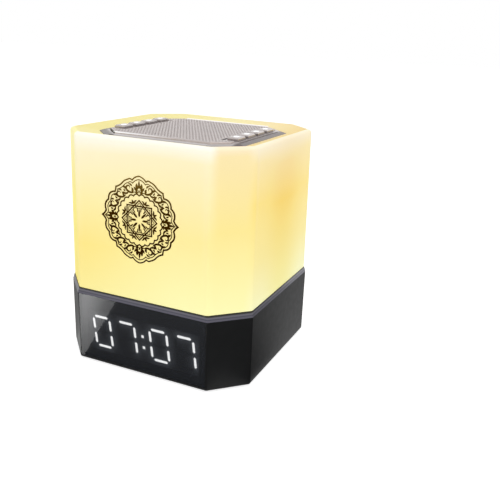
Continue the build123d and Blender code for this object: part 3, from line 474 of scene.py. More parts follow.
@dataclass(frozen=True)
class PanelPaint(Finish):
    """Silver paint, with painted shade on the sloping sides of the panel and on its front left corner."""

    # painted shade on the sloping sides and on the front left corner
    side: str = "#847B7B"
    side_span: tuple[float, float] = (38.4, 40.6)
    corner: str = "#7A7270"
    corner_span: tuple[float, float] = (-66.0, -69.0)

    def base_color(self, tree: Tree) -> Socket:
        """Adds the paint's colours, with painted shade towards either side and on the front left corner.

        Args:
            tree: the material's tree.

        Returns:
            The colour.
        """
        x, y, _ = self.axes(tree)
        reach = add_node(tree, "ShaderNodeMath", {0: x, 1: y}, operation="ADD").outputs[0]
        sides = self.blended(tree, self.fade(tree, self.outwards(tree)[0], self.side_span),
                             Finish.base_color(self, tree), linear(self.side))
        return self.blended(tree, self.fade(tree, reach, self.corner_span), sides, linear(self.corner))


@dataclass(frozen=True)
class KeyPaint(BandedPaint):
    """Silver paint of the keys, with a printed white dot in the middle of each key that also glows a little as a
    painted highlight.
    """

    mark: str = "#FFFFFF"
    row: float = 35.0
    pitch: float = 12.6
    mark_half: tuple[float, float] = (1.7, 2.6)
    mark_core: float = 0.7
    mark_depth: float = 0.3
    brightness: float = 0.3

    def on_mark(self, tree: Tree) -> Socket:
        """Marks the dots.

        Args:
            tree: the material's tree.

        Returns:
            1 on the dots, and 0 elsewhere.
        """
        _, y, z = self.axes(tree)
        half_x, half_y = self.mark_half
        pitch_in_marks = self.pitch / half_y
        across = add_node(tree, "ShaderNodeMath", {
            0: self.outwards(tree)[0], 1: 1 / (half_x * MM), 2: -self.row / half_x}, operation="MULTIPLY_ADD")
        share = add_node(tree, "ShaderNodeMath", {0: y, 1: 1 / (self.pitch * MM)}, operation="MULTIPLY")
        share = add_node(tree, "ShaderNodeMath", {0: share}, operation="FRACT")
        along = add_node(tree, "ShaderNodeMath", {0: share, 1: pitch_in_marks, 2: -pitch_in_marks / 2},
                         operation="MULTIPLY_ADD")
        place = add_node(tree, "ShaderNodeCombineXYZ", {"X": across, "Y": along})
        distance = add_node(tree, "ShaderNodeVectorMath", {0: place}, operation="LENGTH")
        near = add_node(tree, "ShaderNodeMapRange", {
            "Value": distance.outputs["Value"], "From Min": 1.0, "From Max": self.mark_core},
            interpolation_type="SMOOTHSTEP")
        top = add_node(tree, "ShaderNodeMath", {0: z, 1: (self.high - self.mark_depth) * MM},
                       operation="GREATER_THAN")
        return add_node(tree, "ShaderNodeMath", {0: near, 1: top}, operation="MULTIPLY").outputs[0]

    def dress(self, tree: Tree, shader: Node) -> None:
        """Makes the dots glow a little: a painted highlight."""
        highlight(tree, shader, self.on_mark(tree), self.brightness)

    def base_color(self, tree: Tree) -> Socket:
        """Colour by height, and the mark on top."""
        return self.blended(tree, self.on_mark(tree), BandedPaint.base_color(self, tree), linear(self.mark))


@dataclass(frozen=True)
class Lit(Finish):
    """Surface that gives off light: plastic with a light behind it, or polished metal whose glow is a painted
    highlight.
    """

    light: str = "#FFFFFF"
    strength: float = 1.0

    def dress(self, tree: Tree, shader: Node) -> None:
        """Adds the light."""
        shader.inputs["Emission Color"].default_value = linear(self.light)
        shader.inputs["Emission Strength"].default_value = self.strength


@dataclass(frozen=True)
class SmokedAcrylic(Finish):
    """Dark see-through acrylic: what glows behind it shows, and its face mirrors the table."""

    cover: float = 0.5

    def dress(self, tree: Tree, shader: Node) -> None:
        """Lets part of the light behind it through."""
        shader.inputs["Alpha"].default_value = self.cover


@dataclass(frozen=True)
class HaloBlack(Finish):
    """Matte black housing that catches stray light beside the lit segments."""

    light: str = "#DDE6F2"
    strength: float = 1.0

    def dress(self, tree: Tree, shader: Node) -> None:
        """Adds the stray light, stored in the mesh."""
        stray = add_node(tree, "ShaderNodeAttribute", attribute_name="halo")
        highlight(tree, shader, stray.outputs["Fac"], self.strength, self.light)


class Slot(Enum):
    """Finish of each material slot of the record."""

    # opal acrylic, injection moulded: soft glow with no sharp shadow on it; its side colours also hold painted shade
    # and a painted highlight of the outer lamps
    milky_shade = MilkyAcrylic(
        "opal_acrylic", "#FFF0A2", roughness=0.42, specular=0.15, patch=40, grain=None, low=44.0, high=129.0,
        bands=((0.0, "#FFFBB8"), (0.45, "#FEEB9E"), (0.9, "#FCEFC4"), (1.0, "#FEFBEE")),
        corner_bands=((0.0, "#F8EA95"), (0.3, "#FDE688"), (0.6, "#FDEFAC"), (0.9, "#FCF2CC"), (1.0, "#FEFBEE")),
        side_bands=((0.0, "#FEFCC6"), (0.3, "#FDEDA0"), (0.65, "#FCE286"), (0.9, "#F9E5AA"), (1.0, "#FAEFD2")),
        middle_bands=((0.0, "#FAF3A6"), (0.25, "#FAE892"), (0.6, "#F7D568"), (0.85, "#F5DB96"), (1.0, "#F8EACA")),
        chamfer_bands=((0.0, "#FEFAB8"), (0.5, "#FAE796"), (0.95, "#F7E4AE"), (1.0, "#FAEBCA")),
        left_bands=((0.0, "#FBE876"), (0.5, "#FFF07D"), (0.8, "#F5E78A"), (1.0, "#F6EDA6")),
        rim_bands=((0.0, "#F9EC9A"), (0.5, "#FDF2B4"), (0.75, "#FEEAB2"), (0.95, "#F6DA8E")))
    # ABS with a metallic violet-grey paint: a soft sheen along the bevel, also painted in as a lighter band;
    # the black band at the top is the painted shadow in the gap under the shade, and a darker line lies lower down
    ring_grey = BandedPaint(
        "painted_abs_ring", "#4E4C5A", roughness=0.32, metallic=0.3, coat=0.4, grain=Grain(0.35, 0.002),
        low=40.6, high=43.6,
        bands=((0.0, "#504E5D"), (0.28, "#545261"), (0.34, "#3E3C4A"), (0.44, "#3E3C4A"), (0.52, "#5C5A67"),
               (0.76, "#64626C"), (0.82, "#15110D"), (1.0, "#0E0B08")))
    # spark-eroded ABS: dark and satin, with a fine even grain
    charcoal = Finish("textured_abs", "#121314", "#151617", roughness=0.45, specular=0.2, edge=0.4,
                      grain=Grain(0.35, 0.003))
    # smoked acrylic, polished: it mirrors the table, and what glows behind it shows through
    black_lens = SmokedAcrylic("smoked_acrylic", "#1D2128", roughness=0.05, gloss_spread=0.01, specular=0.6,
                               grain=None, cover=0.6)
    # moulded ABS: dull black, so that only the segments show
    display_black = Finish("matte_black_abs", "#0A0A0B", "#101011", roughness=0.75)
    # clear epoxy over light chips: pure white when lit, and nearly lost in the black when not
    lit_white = Lit("lit_segment_epoxy", "#FFFFFF", roughness=0.3, grain=None, strength=4.9)
    dark_segment = Finish("unlit_segment_epoxy", "#0E0E10", "#121214", roughness=0.35, grain=Grain(0.3, 0.002))
    # silicone rubber: matte, with a faint bloom
    rubber = Finish("silicone_rubber", "#161616", "#202020", roughness=0.85, grain=Grain(0.4, 0.008))
    # ABS with silver paint: fine flakes that catch the light; its darker sides and front left corner are painted shade
    silver_panel = PanelPaint("silver_painted_abs", "#D3CCCB", "#DAD3D2", roughness=0.3, metallic=0.8, edge=0.3,
                              grain=Grain(0.25, 0.002))
    # punched and lacquered aluminium sheet; its front margin glows as a painted highlight, and its front left corner
    # and notch walls are painted shade
    silver_grille = EdgedSheet("lacquered_aluminium_mesh", "#D8CECB", "#D1C8C6", roughness=0.4, metallic=0.6,
                               grain=Grain(0.3, 0.002))
    # the same paint on the key caps, with a painted highlight along their bevels and painted shade down their sides
    silver_keys = KeyPaint(
        "silver_key_caps", "#D4CBC9", roughness=0.2, gloss_spread=0.03, metallic=0.7, edge=0.3,
        grain=Grain(0.25, 0.001), low=127.0, high=129.6,
        bands=((0.0, "#8A8280"), (0.5, "#B4ACAA"), (0.72, "#C0B8B6"), (0.76, "#E6DDDB"), (0.93, "#E6DDDB"),
               (0.96, "#D0C7C5"), (1.0, "#D0C7C5")))
    # resist over glass-fibre board: a satin film, green or white, with copper showing as faint patches
    circuit_board = Finish("green_solder_resist", "#0F4A2A", "#15603A", roughness=0.35, patch=2.5,
                           grain=Grain(0.8, 0.01))
    white_board = Finish("white_solder_resist", "#ECECE6", "#F4F4F0", roughness=0.4, grain=Grain(0.8, 0.01))
    # phosphor on a light chip: warm yellow light
    warm_light = Lit("phosphor_light_chip", "#FFE9A8", roughness=0.3, grain=None, light="#FFE09A", strength=2.0)
    # filled epoxy: dull black, a little sandy
    chip_black = Finish("black_moulding_compound", "#121213", "#1B1B1C", roughness=0.6, grain=Grain(0.25, 0.006))
    # ABS without pigment: a creamy white
    white_plastic = Finish("natural_abs", "#E6E3D8", "#EFEDE4", roughness=0.5)
    # nickel-plated steel: bright, with fine drawing marks along X
    steel = Finish("nickel_plated_steel", "#B9B9B6", "#C7C6C1", roughness=0.28, metallic=1.0,
                   grain=Grain(0.15, 0.002, 6.0))
    # pressed steel with black paint: smooth, with a broad sheen
    black_steel = Finish("black_painted_steel", "#141414", "#1C1C1C", roughness=0.4, grain=Grain(0.5, 0.004))
    # drawn aluminium: a bright, even grey
    aluminium = Finish("drawn_aluminium_can", "#CFCFD2", "#C4C4C8", roughness=0.3, metallic=1.0,
                       grain=Grain(0.2, 0.002))
    # heat-shrunk PVC film: glossy blue, slightly rippled
    cell_wrap = Finish("heat_shrink_wrap", "#2673A8", "#2B7DB5", roughness=0.25, coat=0.4, grain=Grain(1.5, 0.02))
    # sintered ferrite: stone-like dark grey
    ferrite = Finish("sintered_ferrite", "#2B2B2D", "#343437", roughness=0.65, grain=Grain(0.3, 0.01))
    # enamelled copper wire, wound close: red-brown, with fine ridges along X
    copper = Finish("enamelled_copper_winding", "#B86B3A", "#C67A46", roughness=0.3, metallic=0.8,
                    grain=Grain(0.25, 0.02, 8.0))
    # pressed paper: dull black with a fibrous relief
    paper_black = Finish("pressed_paper_cone", "#151515", "#1F1F1F", roughness=0.85, grain=Grain(0.6, 0.03))
    # cotton stiffened with resin: amber cloth
    spider_cloth = Finish("resin_cotton_cloth", "#C79A4C", "#B88B40", roughness=0.9, grain=Grain(0.4, 0.05))
    # PVC round the wires: smooth, with a soft gloss
    red_wire = Finish("red_pvc_insulation", "#A11414", "#B01A1A", roughness=0.4, grain=Grain(0.5, 0.004))
    grey_wire = Finish("grey_pvc_sheath", "#77777A", "#828285", roughness=0.45, grain=Grain(0.5, 0.004))


# screen-printed ink: matte brown, and lighter higher up, where more of the lamp's light comes through it
INK = BandedPaint("screen_print_ink", "#45310F", roughness=0.9, specular=0.0, patch=1.5, grain=Grain(0.2, 0.002),
                  low=65.0, high=111.0, bands=((0.0, "#381C00"), (0.35, "#3F2400"), (0.65, "#4C3000"),
                                               (1.0, "#8E7230")))
# bare aluminium, polished, that glows a little as a painted highlight: nearly white along its length
POLISHED_HIGHLIGHT = Lit("polished_aluminium", "#F6F0EE", roughness=0.25, metallic=0.1, edge=0.2, grain=Grain(0.2, 0.001),
               strength=0.35)
# moulded ABS, matte black: a soft glow round each lit segment
HALO = HaloBlack("black_housing_with_halo", "#0A0A0B", roughness=0.8, strength=0.28)


# ---------------------------------------------------------------- mesh helpers
def put(name: str, data: bpy.types.ID) -> Object:
    """Puts an object in the scene.

    Args:
        name: its name.
        data: its mesh, lamp or camera.

    Returns:
        The object, at the origin.
    """
    made = bpy.data.objects.new(name, data)
    bpy.context.scene.collection.objects.link(made)
    return made


def as_mesh(build: BMesh, name: str, outwards: bool = True) -> Mesh:
    """Ends a mesh in the making.

    Args:
        build: the mesh in the making, which is freed.
        name: the mesh's name.
        outwards: whether its faces are turned outwards first.

    Returns:
        The mesh.
    """
    if outwards:
        bmesh.ops.recalc_face_normals(build, faces=build.faces)
    mesh = bpy.data.meshes.new(name)
    build.to_mesh(mesh)
    build.free()
    return mesh


def new_object(name: str, mesh: Mesh, finish: Finish) -> Object:
    """Puts a mesh in the scene with its finish.

    Args:
        name: the piece's name.
        mesh: its mesh, in the row frame, in metres.
        finish: what it is covered with.

    Returns:
        The object, at the origin.
    """
    mesh.name = name
    mesh.materials.clear()
    mesh.materials.append(finish.material())
    made = put(name, mesh)
    log.info("%s: %d faces, %s", name, len(mesh.polygons), finish.name)
    return made


def ring_mesh(rings: Sequence[Sequence[Vector]], sharp: float = 30.0) -> Mesh:
    """Closed shell through rings with as many points each; the last ring joins the first.

    Args:
        rings: the rings, in metres.
        sharp: angle between faces, in degrees, past which their edge is sharp.

    Returns:
        The mesh, smooth except at sharp edges, with its faces outwards.
    """
    build = bmesh.new()
    rows = [[build.verts.new(p) for p in ring] for ring in rings]
    count = len(rows[0])
    for i, row in enumerate(rows):
        after = rows[(i + 1) % len(rows)]
        for j in range(count):
            k = (j + 1) % count
            build.faces.new((row[j], row[k], after[k], after[j]))
    mesh = as_mesh(build, "rings")
    mesh.shade_smooth()
    mesh.set_sharp_from_angle(angle=math.radians(sharp))
    return mesh


def eight_sided(width: float, cut: float, inset: float, rounding: float, z: float, steps: int = 6) -> list[Vector]:
    """Ring of points round a square with cut and rounded corners.

    Args:
        width: across the flats, in millimetres.
        cut: leg of the 45 degree cuts.
        inset: how far every side is moved in.
        rounding: radius at the eight corners.
        z: height.
        steps: faces round each corner.

    Returns:
        The points, in metres, anticlockwise from above.
    """
    h = width / 2 - inset
    c = cut - inset * (2 - math.sqrt(2))
    corners = [(h - c, -h), (h, c - h), (h, h - c), (h - c, h), (c - h, h), (-h, h - c), (-h, c - h), (c - h, -h)]
    half_turn = math.radians(22.5)
    points = []
    for i, (x, y) in enumerate(corners):
        heading = math.radians(45 * i - 67.5)
        reach = rounding / math.cos(half_turn)
        cx, cy = x - reach * math.cos(heading), y - reach * math.sin(heading)
        for step in range(steps + 1):
            a = heading + half_turn * (2 * step / steps - 1)
            points.append(Vector((cx + rounding * math.cos(a), cy + rounding * math.sin(a), z)) * MM)
    return points


def arc(a: Point2, b: Point2, bulge: float, steps: int = 8) -> list[Point2]:
    """Points on a circular arc, without its last one.

    Args:
        a: first point.
        b: last point.
        bulge: the arc's height over its chord, to the left of a to b, as a share of the chord.
        steps: number of stretches.

    Returns:
        Points from a up to just before b.
    """
    ax, ay = a
    dx, dy = b[0] - ax, b[1] - ay
    points = []
    for i in range(steps):
        t = i / steps
        height = 4 * bulge * t * (1 - t)
        points.append((ax + dx * t - dy * height, ay + dy * t + dx * height))
    return points


def ribbon(build: BMesh, points: Sequence[Point2], width: float | Callable[[float], float],
           closed: bool = False) -> None:
    """Adds a flat line of a given width along points.

    Args:
        build: the mesh in the making.
        points: the middle of the line.
        width: its width, or a function of the share of the way along.
        closed: whether the last point joins the first.
    """
    count = len(points)
    left, right = [], []
    for i, point in enumerate(points):
        here = Vector(point)
        before = Vector(points[i - 1] if i or closed else point)
        after = Vector(points[(i + 1) % count] if i < count - 1 or closed else point)
        first = (here - before).normalized() if (here - before).length else (after - here).normalized()
        second = (after - here).normalized() if (after - here).length else first
        way = (first + second).normalized() if (first + second).length > NEAR else first
        side = Vector((-way.y, way.x))
        spread = 1 / max(1 / BROADEST_BEND, side.dot(Vector((-first.y, first.x))))
        half = (width(i / (count - 1)) if callable(width) else width) / 2 * spread
        left.append(build.verts.new((*(here + side * half), 0)))
        right.append(build.verts.new((*(here - side * half), 0)))
    for i in range(count if closed else count - 1):
        j = (i + 1) % count
        build.faces.new((right[i], right[j], left[j], left[i]))


def curve(points: Sequence[Point2], steps: int = 4) -> list[Point2]:
    """Smooth line through points.

    Args:
        points: what it goes through.
        steps: stretches from one point to the next.

    Returns:
        Its points.
    """
    line = []
    for i in range(len(points) - 1):
        before, a, b, after = (Vector(points[min(max(k, 0), len(points) - 1)]) for k in range(i - 1, i + 3))
        for step in range(steps):
            t = step / steps
            line.append(tuple(0.5 * (2 * a + (b - before) * t + (2 * before - 5 * a + 4 * b - after) * t ** 2
                                     + (3 * a - before - 3 * b + after) * t ** 3)))
    return line + [tuple(points[-1])]


def leaf(build: BMesh, points: Sequence[Point2], width: float, fullest: float = 0.75) -> None:
    """Adds a filled leaf along a smooth line.

    Args:
        build: the mesh in the making.
        points: what its middle goes through, from its root to its tip.
        width: its widest part.
        fullest: shape; below 1 the widest part is nearer to the root.
    """
    ribbon(build, curve(points), lambda t: width * max(LEAF_ENDS, math.sin(math.pi * t ** fullest)))


def repeated_round(name: str, motif: Mesh, count: int, radius: float, turn: float,
                   finish: Finish, leave_out: int = 0) -> Mesh:
    """Copies a flat motif round a circle with Geometry Nodes.

    Args:
        name: for the tree and the objects.
        motif: mesh of one motif, its foot at the origin and its top along +Y.
        count: copies on the circle.
        radius: of the circle, in millimetres.
        turn: angle of the first copy, in degrees.
        finish: what the copies are covered with.
        leave_out: every place whose number this divides stays empty; 0 fills them all.

    Returns:
        One plain mesh with all copies.
    """
    tree = bpy.data.node_groups.new(name, "GeometryNodeTree")
    sockets = {}
    for label, kind in (("Geometry", "NodeSocketGeometry"), ("Count", "NodeSocketInt"),
                        ("Radius", "NodeSocketFloat"), ("Turn", "NodeSocketFloat"),
                        ("Leave out", "NodeSocketInt"), ("Finish", "NodeSocketMaterial")):
        sockets[label] = tree.interface.new_socket(label, in_out="INPUT", socket_type=kind).identifier
    tree.interface.new_socket("Geometry", in_out="OUTPUT", socket_type="NodeSocketGeometry")
    given = add_node(tree, "NodeGroupInput").outputs
    circle = add_node(tree, "GeometryNodeMeshCircle", {"Vertices": given["Count"], "Radius": given["Radius"]})
    index = add_node(tree, "GeometryNodeInputIndex")
    share = add_node(tree, "ShaderNodeMath", {0: index, 1: given["Count"]}, operation="DIVIDE")
    angle = add_node(tree, "ShaderNodeMath", {0: share, 1: 2 * math.pi, 2: -math.pi / 2}, operation="MULTIPLY_ADD")
    spin = add_node(tree, "ShaderNodeCombineXYZ", {"Z": angle})
    rest = add_node(tree, "ShaderNodeMath", {0: index, 1: given["Leave out"]}, operation="MODULO")
    wanted = add_node(tree, "ShaderNodeMath", {0: rest, 1: 0.5}, operation="GREATER_THAN")
    every = add_node(tree, "ShaderNodeMath", {0: given["Leave out"], 1: 0.5}, operation="LESS_THAN")
    chosen = add_node(tree, "ShaderNodeMath", {0: wanted, 1: every}, operation="MAXIMUM")
    copies = add_node(tree, "GeometryNodeInstanceOnPoints", {
        "Points": circle, "Selection": chosen, "Instance": given["Geometry"], "Rotation": spin})
    whole_turn = add_node(tree, "ShaderNodeCombineXYZ", {"Z": given["Turn"]})
    real = add_node(tree, "GeometryNodeRealizeInstances", {"Geometry": copies})
    turned = add_node(tree, "GeometryNodeTransform", {"Geometry": real, "Rotation": whole_turn})
    painted = add_node(tree, "GeometryNodeSetMaterial", {"Geometry": turned, "Material": given["Finish"]})
    add_node(tree, "NodeGroupOutput", {"Geometry": painted})
    holder = put(name, motif)
    modifier = holder.modifiers.new(name, "NODES")
    modifier.node_group = tree
    for label, value in (("Count", count), ("Radius", radius), ("Turn", math.radians(turn)),
                         ("Leave out", leave_out), ("Finish", finish.material())):
        modifier[sockets[label]] = value
    bpy.context.view_layer.update()
    evaluated = holder.evaluated_get(bpy.context.evaluated_depsgraph_get())
    mesh = bpy.data.meshes.new_from_object(evaluated)
    holder.modifiers.remove(modifier)
    bpy.data.objects.remove(holder)
    bpy.data.node_groups.remove(tree)
    return mesh


# ---------------------------------------------------------------- shade
@dataclass
class Shade:
    """The milky shade: rounded outside, rim sloping down to the panel, and a ledge that carries the panel.

    Fields are millimetres and say the same as the solid's sizes.
    """

    width: float = 114.4
    cut: float = 17.4
    seat: float = 44.0
    top: float = 129.0
    wall: float = 2.4
    taper: float = 1.1
    corner: float = 3.0
    rim_round: float = 2.2
    rim_land: float = 2.6
    opening: float = 88.6
    opening_cut: float = 15.0
    opening_z: float = 126.6
    panel_foot: float = 124.6
    ledge: float = 2.5
    ledge_foot: float = 122.2
    rim_steps: int = 8
    sharp_corner: float = 0.3
    slope_under_ledge: float = 1.2
    rim_margin: float = 0.05

    def outer(self, inset: float, z: float, rounding: float) -> list[Vector]:
        """Ring on the outside, leaning in with height."""
        lean = self.taper * (z - self.seat) / (self.top - self.seat)
        return eight_sided(self.width, self.cut, inset + lean, rounding, z)

    def hole(self, inset: float, z: float) -> list[Vector]:
        """Ring on the opening's outline."""
        return eight_sided(self.opening, self.opening_cut, inset, self.sharp_corner, z)

    def rings(self) -> list[list[Vector]]:
        """Section of the shade.

        Returns:
            Rings from the outer foot over the rim and the ledge to the inner foot.
        """
        rings = [self.outer(0, self.seat, self.corner), self.outer(0, self.top - self.rim_round, self.corner)]
        for step in range(1, self.rim_steps + 1):
            a = math.pi / 2 * step / self.rim_steps
            inset = self.rim_round * (1 - math.cos(a))
            z = self.top - self.rim_round * (1 - math.sin(a))
            rings.append(self.outer(inset, z, max(self.sharp_corner, self.corner - inset)))
        under = self.ledge_foot - self.wall * self.slope_under_ledge
        return rings + [
            self.outer(self.rim_land, self.top, self.sharp_corner), self.hole(0, self.opening_z),
            self.hole(0, self.panel_foot), self.hole(self.ledge, self.panel_foot),
            self.hole(self.ledge, self.ledge_foot), self.hole(-self.wall, self.ledge_foot),
            self.outer(self.wall, under, self.sharp_corner), self.outer(self.wall, self.seat, self.sharp_corner)]

    def mark_rim(self, mesh: Mesh) -> None:
        """Stores how far each point is on the thick rim, 0 outside and 1 on the slope.

        Args:
            mesh: the shade.
        """
        rim = mesh.attributes.new("rim", "FLOAT", "POINT")
        for vert, value in zip(mesh.vertices, rim.data):
            x, y, z = (abs(c) / MM for c in vert.co)
            outside = max(x, y, (x + y) / math.sqrt(2) - (self.width - self.cut) / math.sqrt(2) + self.width / 2)
            edge = self.width / 2 - self.taper - self.rim_land
            value.value = 1.0 if z > self.ledge_foot and outside < edge + self.rim_margin else 0.0

    def build(self) -> None:
        """Makes the shade in place of its plain solid."""
        mesh = ring_mesh(self.rings())
        self.mark_rim(mesh)
        shade = new_object("milky_shade", mesh, Slot.milky_shade.value)
        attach(shade, BODY)
        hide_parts("lamp_shade")


# ---------------------------------------------------------------- medallion
@dataclass(frozen=True)
class Bunch:
    """Leaves that are repeated round the medallion, as widths, fullnesses and points that they go through.

    Fields:
        name: of what they make together.
        count: how often they are there.
        radius: from the medallion's middle to their foot, in millimetres.
        turn: angle of the first, in degrees from the top.
        single: leaves that are there once in each bunch, outwards along Y.
        paired: leaves that have a mirror image in their bunch.
    """

    name: str
    count: int
    radius: float
    turn: float
    single: tuple[Leaf, ...]
    paired: tuple[Leaf, ...]


@dataclass
class Medallion:
    """Printed round ornament on the front of the shade: a scalloped frame, a band of curling leaves and a star.

    Fields are millimetres, and the widths of the other lines are shares of the outermost one's. Each frame node is
    x, z and the bulge of the stretch after it, for one quarter. Each leaf is its width, its fullness and the points
    that it goes through, across and outwards from its foot.
    """

    shade: Shade
    height: float = 87.9
    across: float = -0.3
    ink: float = 0.08
    line: float = 0.84
    line_spread: float = 0.12
    frame_scale: float = 0.925
    second_line: float = 0.58
    ring_radius: float = 12.8
    ring_scallops: int = 24
    ring_bulge: float = 0.3
    ring_line: float = 0.86
    star_squares: tuple[tuple[float, float], ...] = ((10.4, 0.9), (9.0, 0.4))
    band_foot: float = 13.9
    scroll_turns: tuple[float, ...] = (22.5, 45.0, 67.5)
    frame_nodes: tuple[tuple[float, float, float], ...] = (
        (0.0, 22.8, 0.10), (4.1, 20.4, 0.20), (6.8, 20.5, 0.08), (10.2, 18.2, -0.06), (14.0, 15.9, -0.04),
        (14.5, 13.3, 0.24), (18.7, 8.7, 0.20), (20.3, 2.8, -0.08), (22.7, 0.0, 0.0))
    scroll_leaves: tuple[Leaf, ...] = (
        (1.14, 0.6, ((-3.2, 0.6), (-1.4, 0.7), (0.2, 1.7), (1.1, 3.0), (0.9, 4.2), (-0.2, 4.7), (-1.2, 4.2),
                     (-1.2, 3.3), (-0.5, 3.0))),
        (1.02, 0.9, ((0.3, 1.6), (1.6, 1.2), (2.9, 1.6), (3.4, 2.7))),
        (1.2, 0.8, ((1.1, 3.2), (1.9, 4.6), (3.1, 5.0))),
        (1.32, 0.8, ((-1.6, 0.8), (-2.4, 2.0), (-2.2, 3.2))),
        (0.96, 0.8, ((-2.6, 3.6), (-2.2, 4.8), (-1.0, 5.6))),
        (0.84, 0.8, ((2.2, 2.3), (2.6, 3.2), (2.4, 3.9))))
    bunches: tuple[Bunch, ...] = (
        Bunch("palmettes", 4, 13.9, 0,
              ((1.25, 0.75, ((0, 2.6), (0, 4.6), (0, 6.8))), (0.9, 0.75, ((0, 1.9), (0, 0.2)))),
              ((1.8, 0.65, ((0.5, 2.4), (1.4, 3.6), (1.5, 5.2))),
               (1.62, 0.65, ((0.7, 1.6), (2.1, 2.1), (3.2, 3.3))),
               (1.32, 0.65, ((0.5, 0.3), (1.7, 0.6), (2.8, 0.4))))),
        Bunch("rosette", 8, 1.7, 0, ((1.25, 0.75, ((0, 0), (0, 4.4))),),
              ((0.7, 0.75, ((0.95, 2.6), (1.05, 4.1), (1.75, 5.2))),)),
        Bunch("sprigs", 8, 8.9, 22.5, ((1.2, 0.75, ((0, 0), (0, 2.4))),),
              ((0.95, 0.75, ((0.4, 0.0), (1.4, 1.0), (2.7, 1.3))),)))

    def frame_points(self, scale: float) -> list[Point2]:
        """Closed outline of the scalloped frame.

        Args:
            scale: size, where 1 is the outermost line.

        Returns:
            Its points, clockwise from the top.
        """
        quarter = [(x * scale, z * scale, bulge) for x, z, bulge in self.frame_nodes]
        points = []
        for mirror_x, mirror_z in ((1, 1), (1, -1), (-1, -1), (-1, 1)):
            forward = mirror_x * mirror_z > 0
            nodes = quarter if forward else quarter[::-1]
            for (x0, z0, b0), (x1, z1, b1) in zip(nodes, nodes[1:]):
                bulge = b0 if forward else b1
                points += arc((x0 * mirror_x, z0 * mirror_z), (x1 * mirror_x, z1 * mirror_z), bulge)
        return points

    def scallops(self, radius: float) -> list[Point2]:
        """Closed ring of small arcs, clockwise.

        Args:
            radius: where the arcs meet.

        Returns:
            Its points.
        """
        turns = [-2 * math.pi * i / self.ring_scallops for i in range(self.ring_scallops)]
        corners = [(radius * math.cos(turn), radius * math.sin(turn)) for turn in turns]
        return [p for a, b in zip(corners, corners[1:] + corners[:1]) for p in arc(a, b, self.ring_bulge, 6)]

    def lines(self) -> Mesh:
        """Draws the frame, thicker at either side, the scalloped inner ring and the star's lines.

        Returns:
            The drawing.
        """
        build = bmesh.new()
        ribbon(build, self.frame_points(1.0),
               lambda t: self.line - self.line_spread * math.cos(4 * math.pi * t), closed=True)
        ribbon(build, self.frame_points(self.frame_scale), self.line * self.second_line, closed=True)
        ribbon(build, self.scallops(self.ring_radius), self.line * self.ring_line, closed=True)
        for offset in (0, 45):
            for size, width in self.star_squares:
                turns = [math.radians(offset - 90 * k) for k in range(4)]
                square = [(size * math.cos(turn), size * math.sin(turn)) for turn in turns]
                ribbon(build, [p for a, b in zip(square, square[1:] + square[:1]) for p in arc(a, b, 0, 4)],
                       self.line * width, closed=True)
        return as_mesh(build, "drawing", outwards=False)

    def in_band(self, point: Point2, degrees: float, side: int) -> Point2:
        """Place of a leaf's point in the medallion.

        Args:
            point: across and outwards from the band's foot.
            degrees: clockwise from the top.
            side: -1 mirrors the leaf.

        Returns:
            Its x and z from the medallion's middle.
        """
        x, z = point[0] * side, point[1] + self.band_foot
        turn = math.radians(degrees)
        return x * math.cos(turn) + z * math.sin(turn), z * math.cos(turn) - x * math.sin(turn)

    def scrolls(self, side: int) -> Mesh:
        """The three scrolls of one quarter of the band.

        Args:
            side: 1 for the quarter right of the top, and -1 for its mirror image.

        Returns:
            Their leaves, round the medallion's middle.
        """
        build = bmesh.new()
        for degrees in self.scroll_turns:
            for width, fullest, points in self.scroll_leaves:
                leaf(build, [self.in_band(p, side * degrees, side) for p in points], width, fullest)
        return as_mesh(build, "drawing", outwards=False)

    def leaves(self, bunch: Bunch) -> Mesh:
        """Draws one bunch of leaves.

        Args:
            bunch: what it is made of.

        Returns:
            The drawing, with its foot at the origin.
        """
        build = bmesh.new()
        for width, fullest, points in bunch.single:
            leaf(build, points, width, fullest)
        for side in (-1, 1):
            for width, fullest, points in bunch.paired:
                leaf(build, [(x * side, z) for x, z in points], width, fullest)
        return as_mesh(build, "drawing", outwards=False)

    def on_shade(self, drawings: Iterable[Mesh]) -> Mesh:
        """Drawings laid on the shade's front and given the ink's thickness.

        Args:
            drawings: flat meshes in millimetres, X across and Y up.

        Returns:
            One mesh, in the row frame.
        """
        build = bmesh.new()
        for drawing in drawings:
            build.from_mesh(drawing)
            bpy.data.meshes.remove(drawing)
        bmesh.ops.remove_doubles(build, verts=build.verts, dist=0.001)
        flat = build.faces[:]
        bmesh.ops.recalc_face_normals(build, faces=flat)
        for face in flat:
            if face.normal.z < 0:
                face.normal_flip()
        lifted = bmesh.ops.extrude_face_region(build, geom=flat)
        for vert in (v for v in lifted["geom"] if isinstance(v, BMVert)):
            vert.co.z += self.ink
        lean = self.shade.taper / (self.shade.top - self.shade.seat)
        for vert in build.verts:
            x, up, out = vert.co
            z = self.height + up
            front = -self.shade.width / 2 + lean * (z - self.shade.seat)
            vert.co = Vector((x + self.across, front - out, z)) * MM
        return as_mesh(build, "medallion")

    def build(self) -> None:
        """Makes the medallion on the shade."""
        drawings = [self.lines()]
        for name, side in (("scrolls", 1), ("mirrored_scrolls", -1)):
            drawings.append(repeated_round(name, self.scrolls(side), 4, 0.0, 0, INK, leave_out=2))
        for bunch in self.bunches:
            drawings.append(repeated_round(bunch.name, self.leaves(bunch), bunch.count, bunch.radius, bunch.turn, INK))
        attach(new_object("medallion", self.on_shade(drawings), INK), BODY)


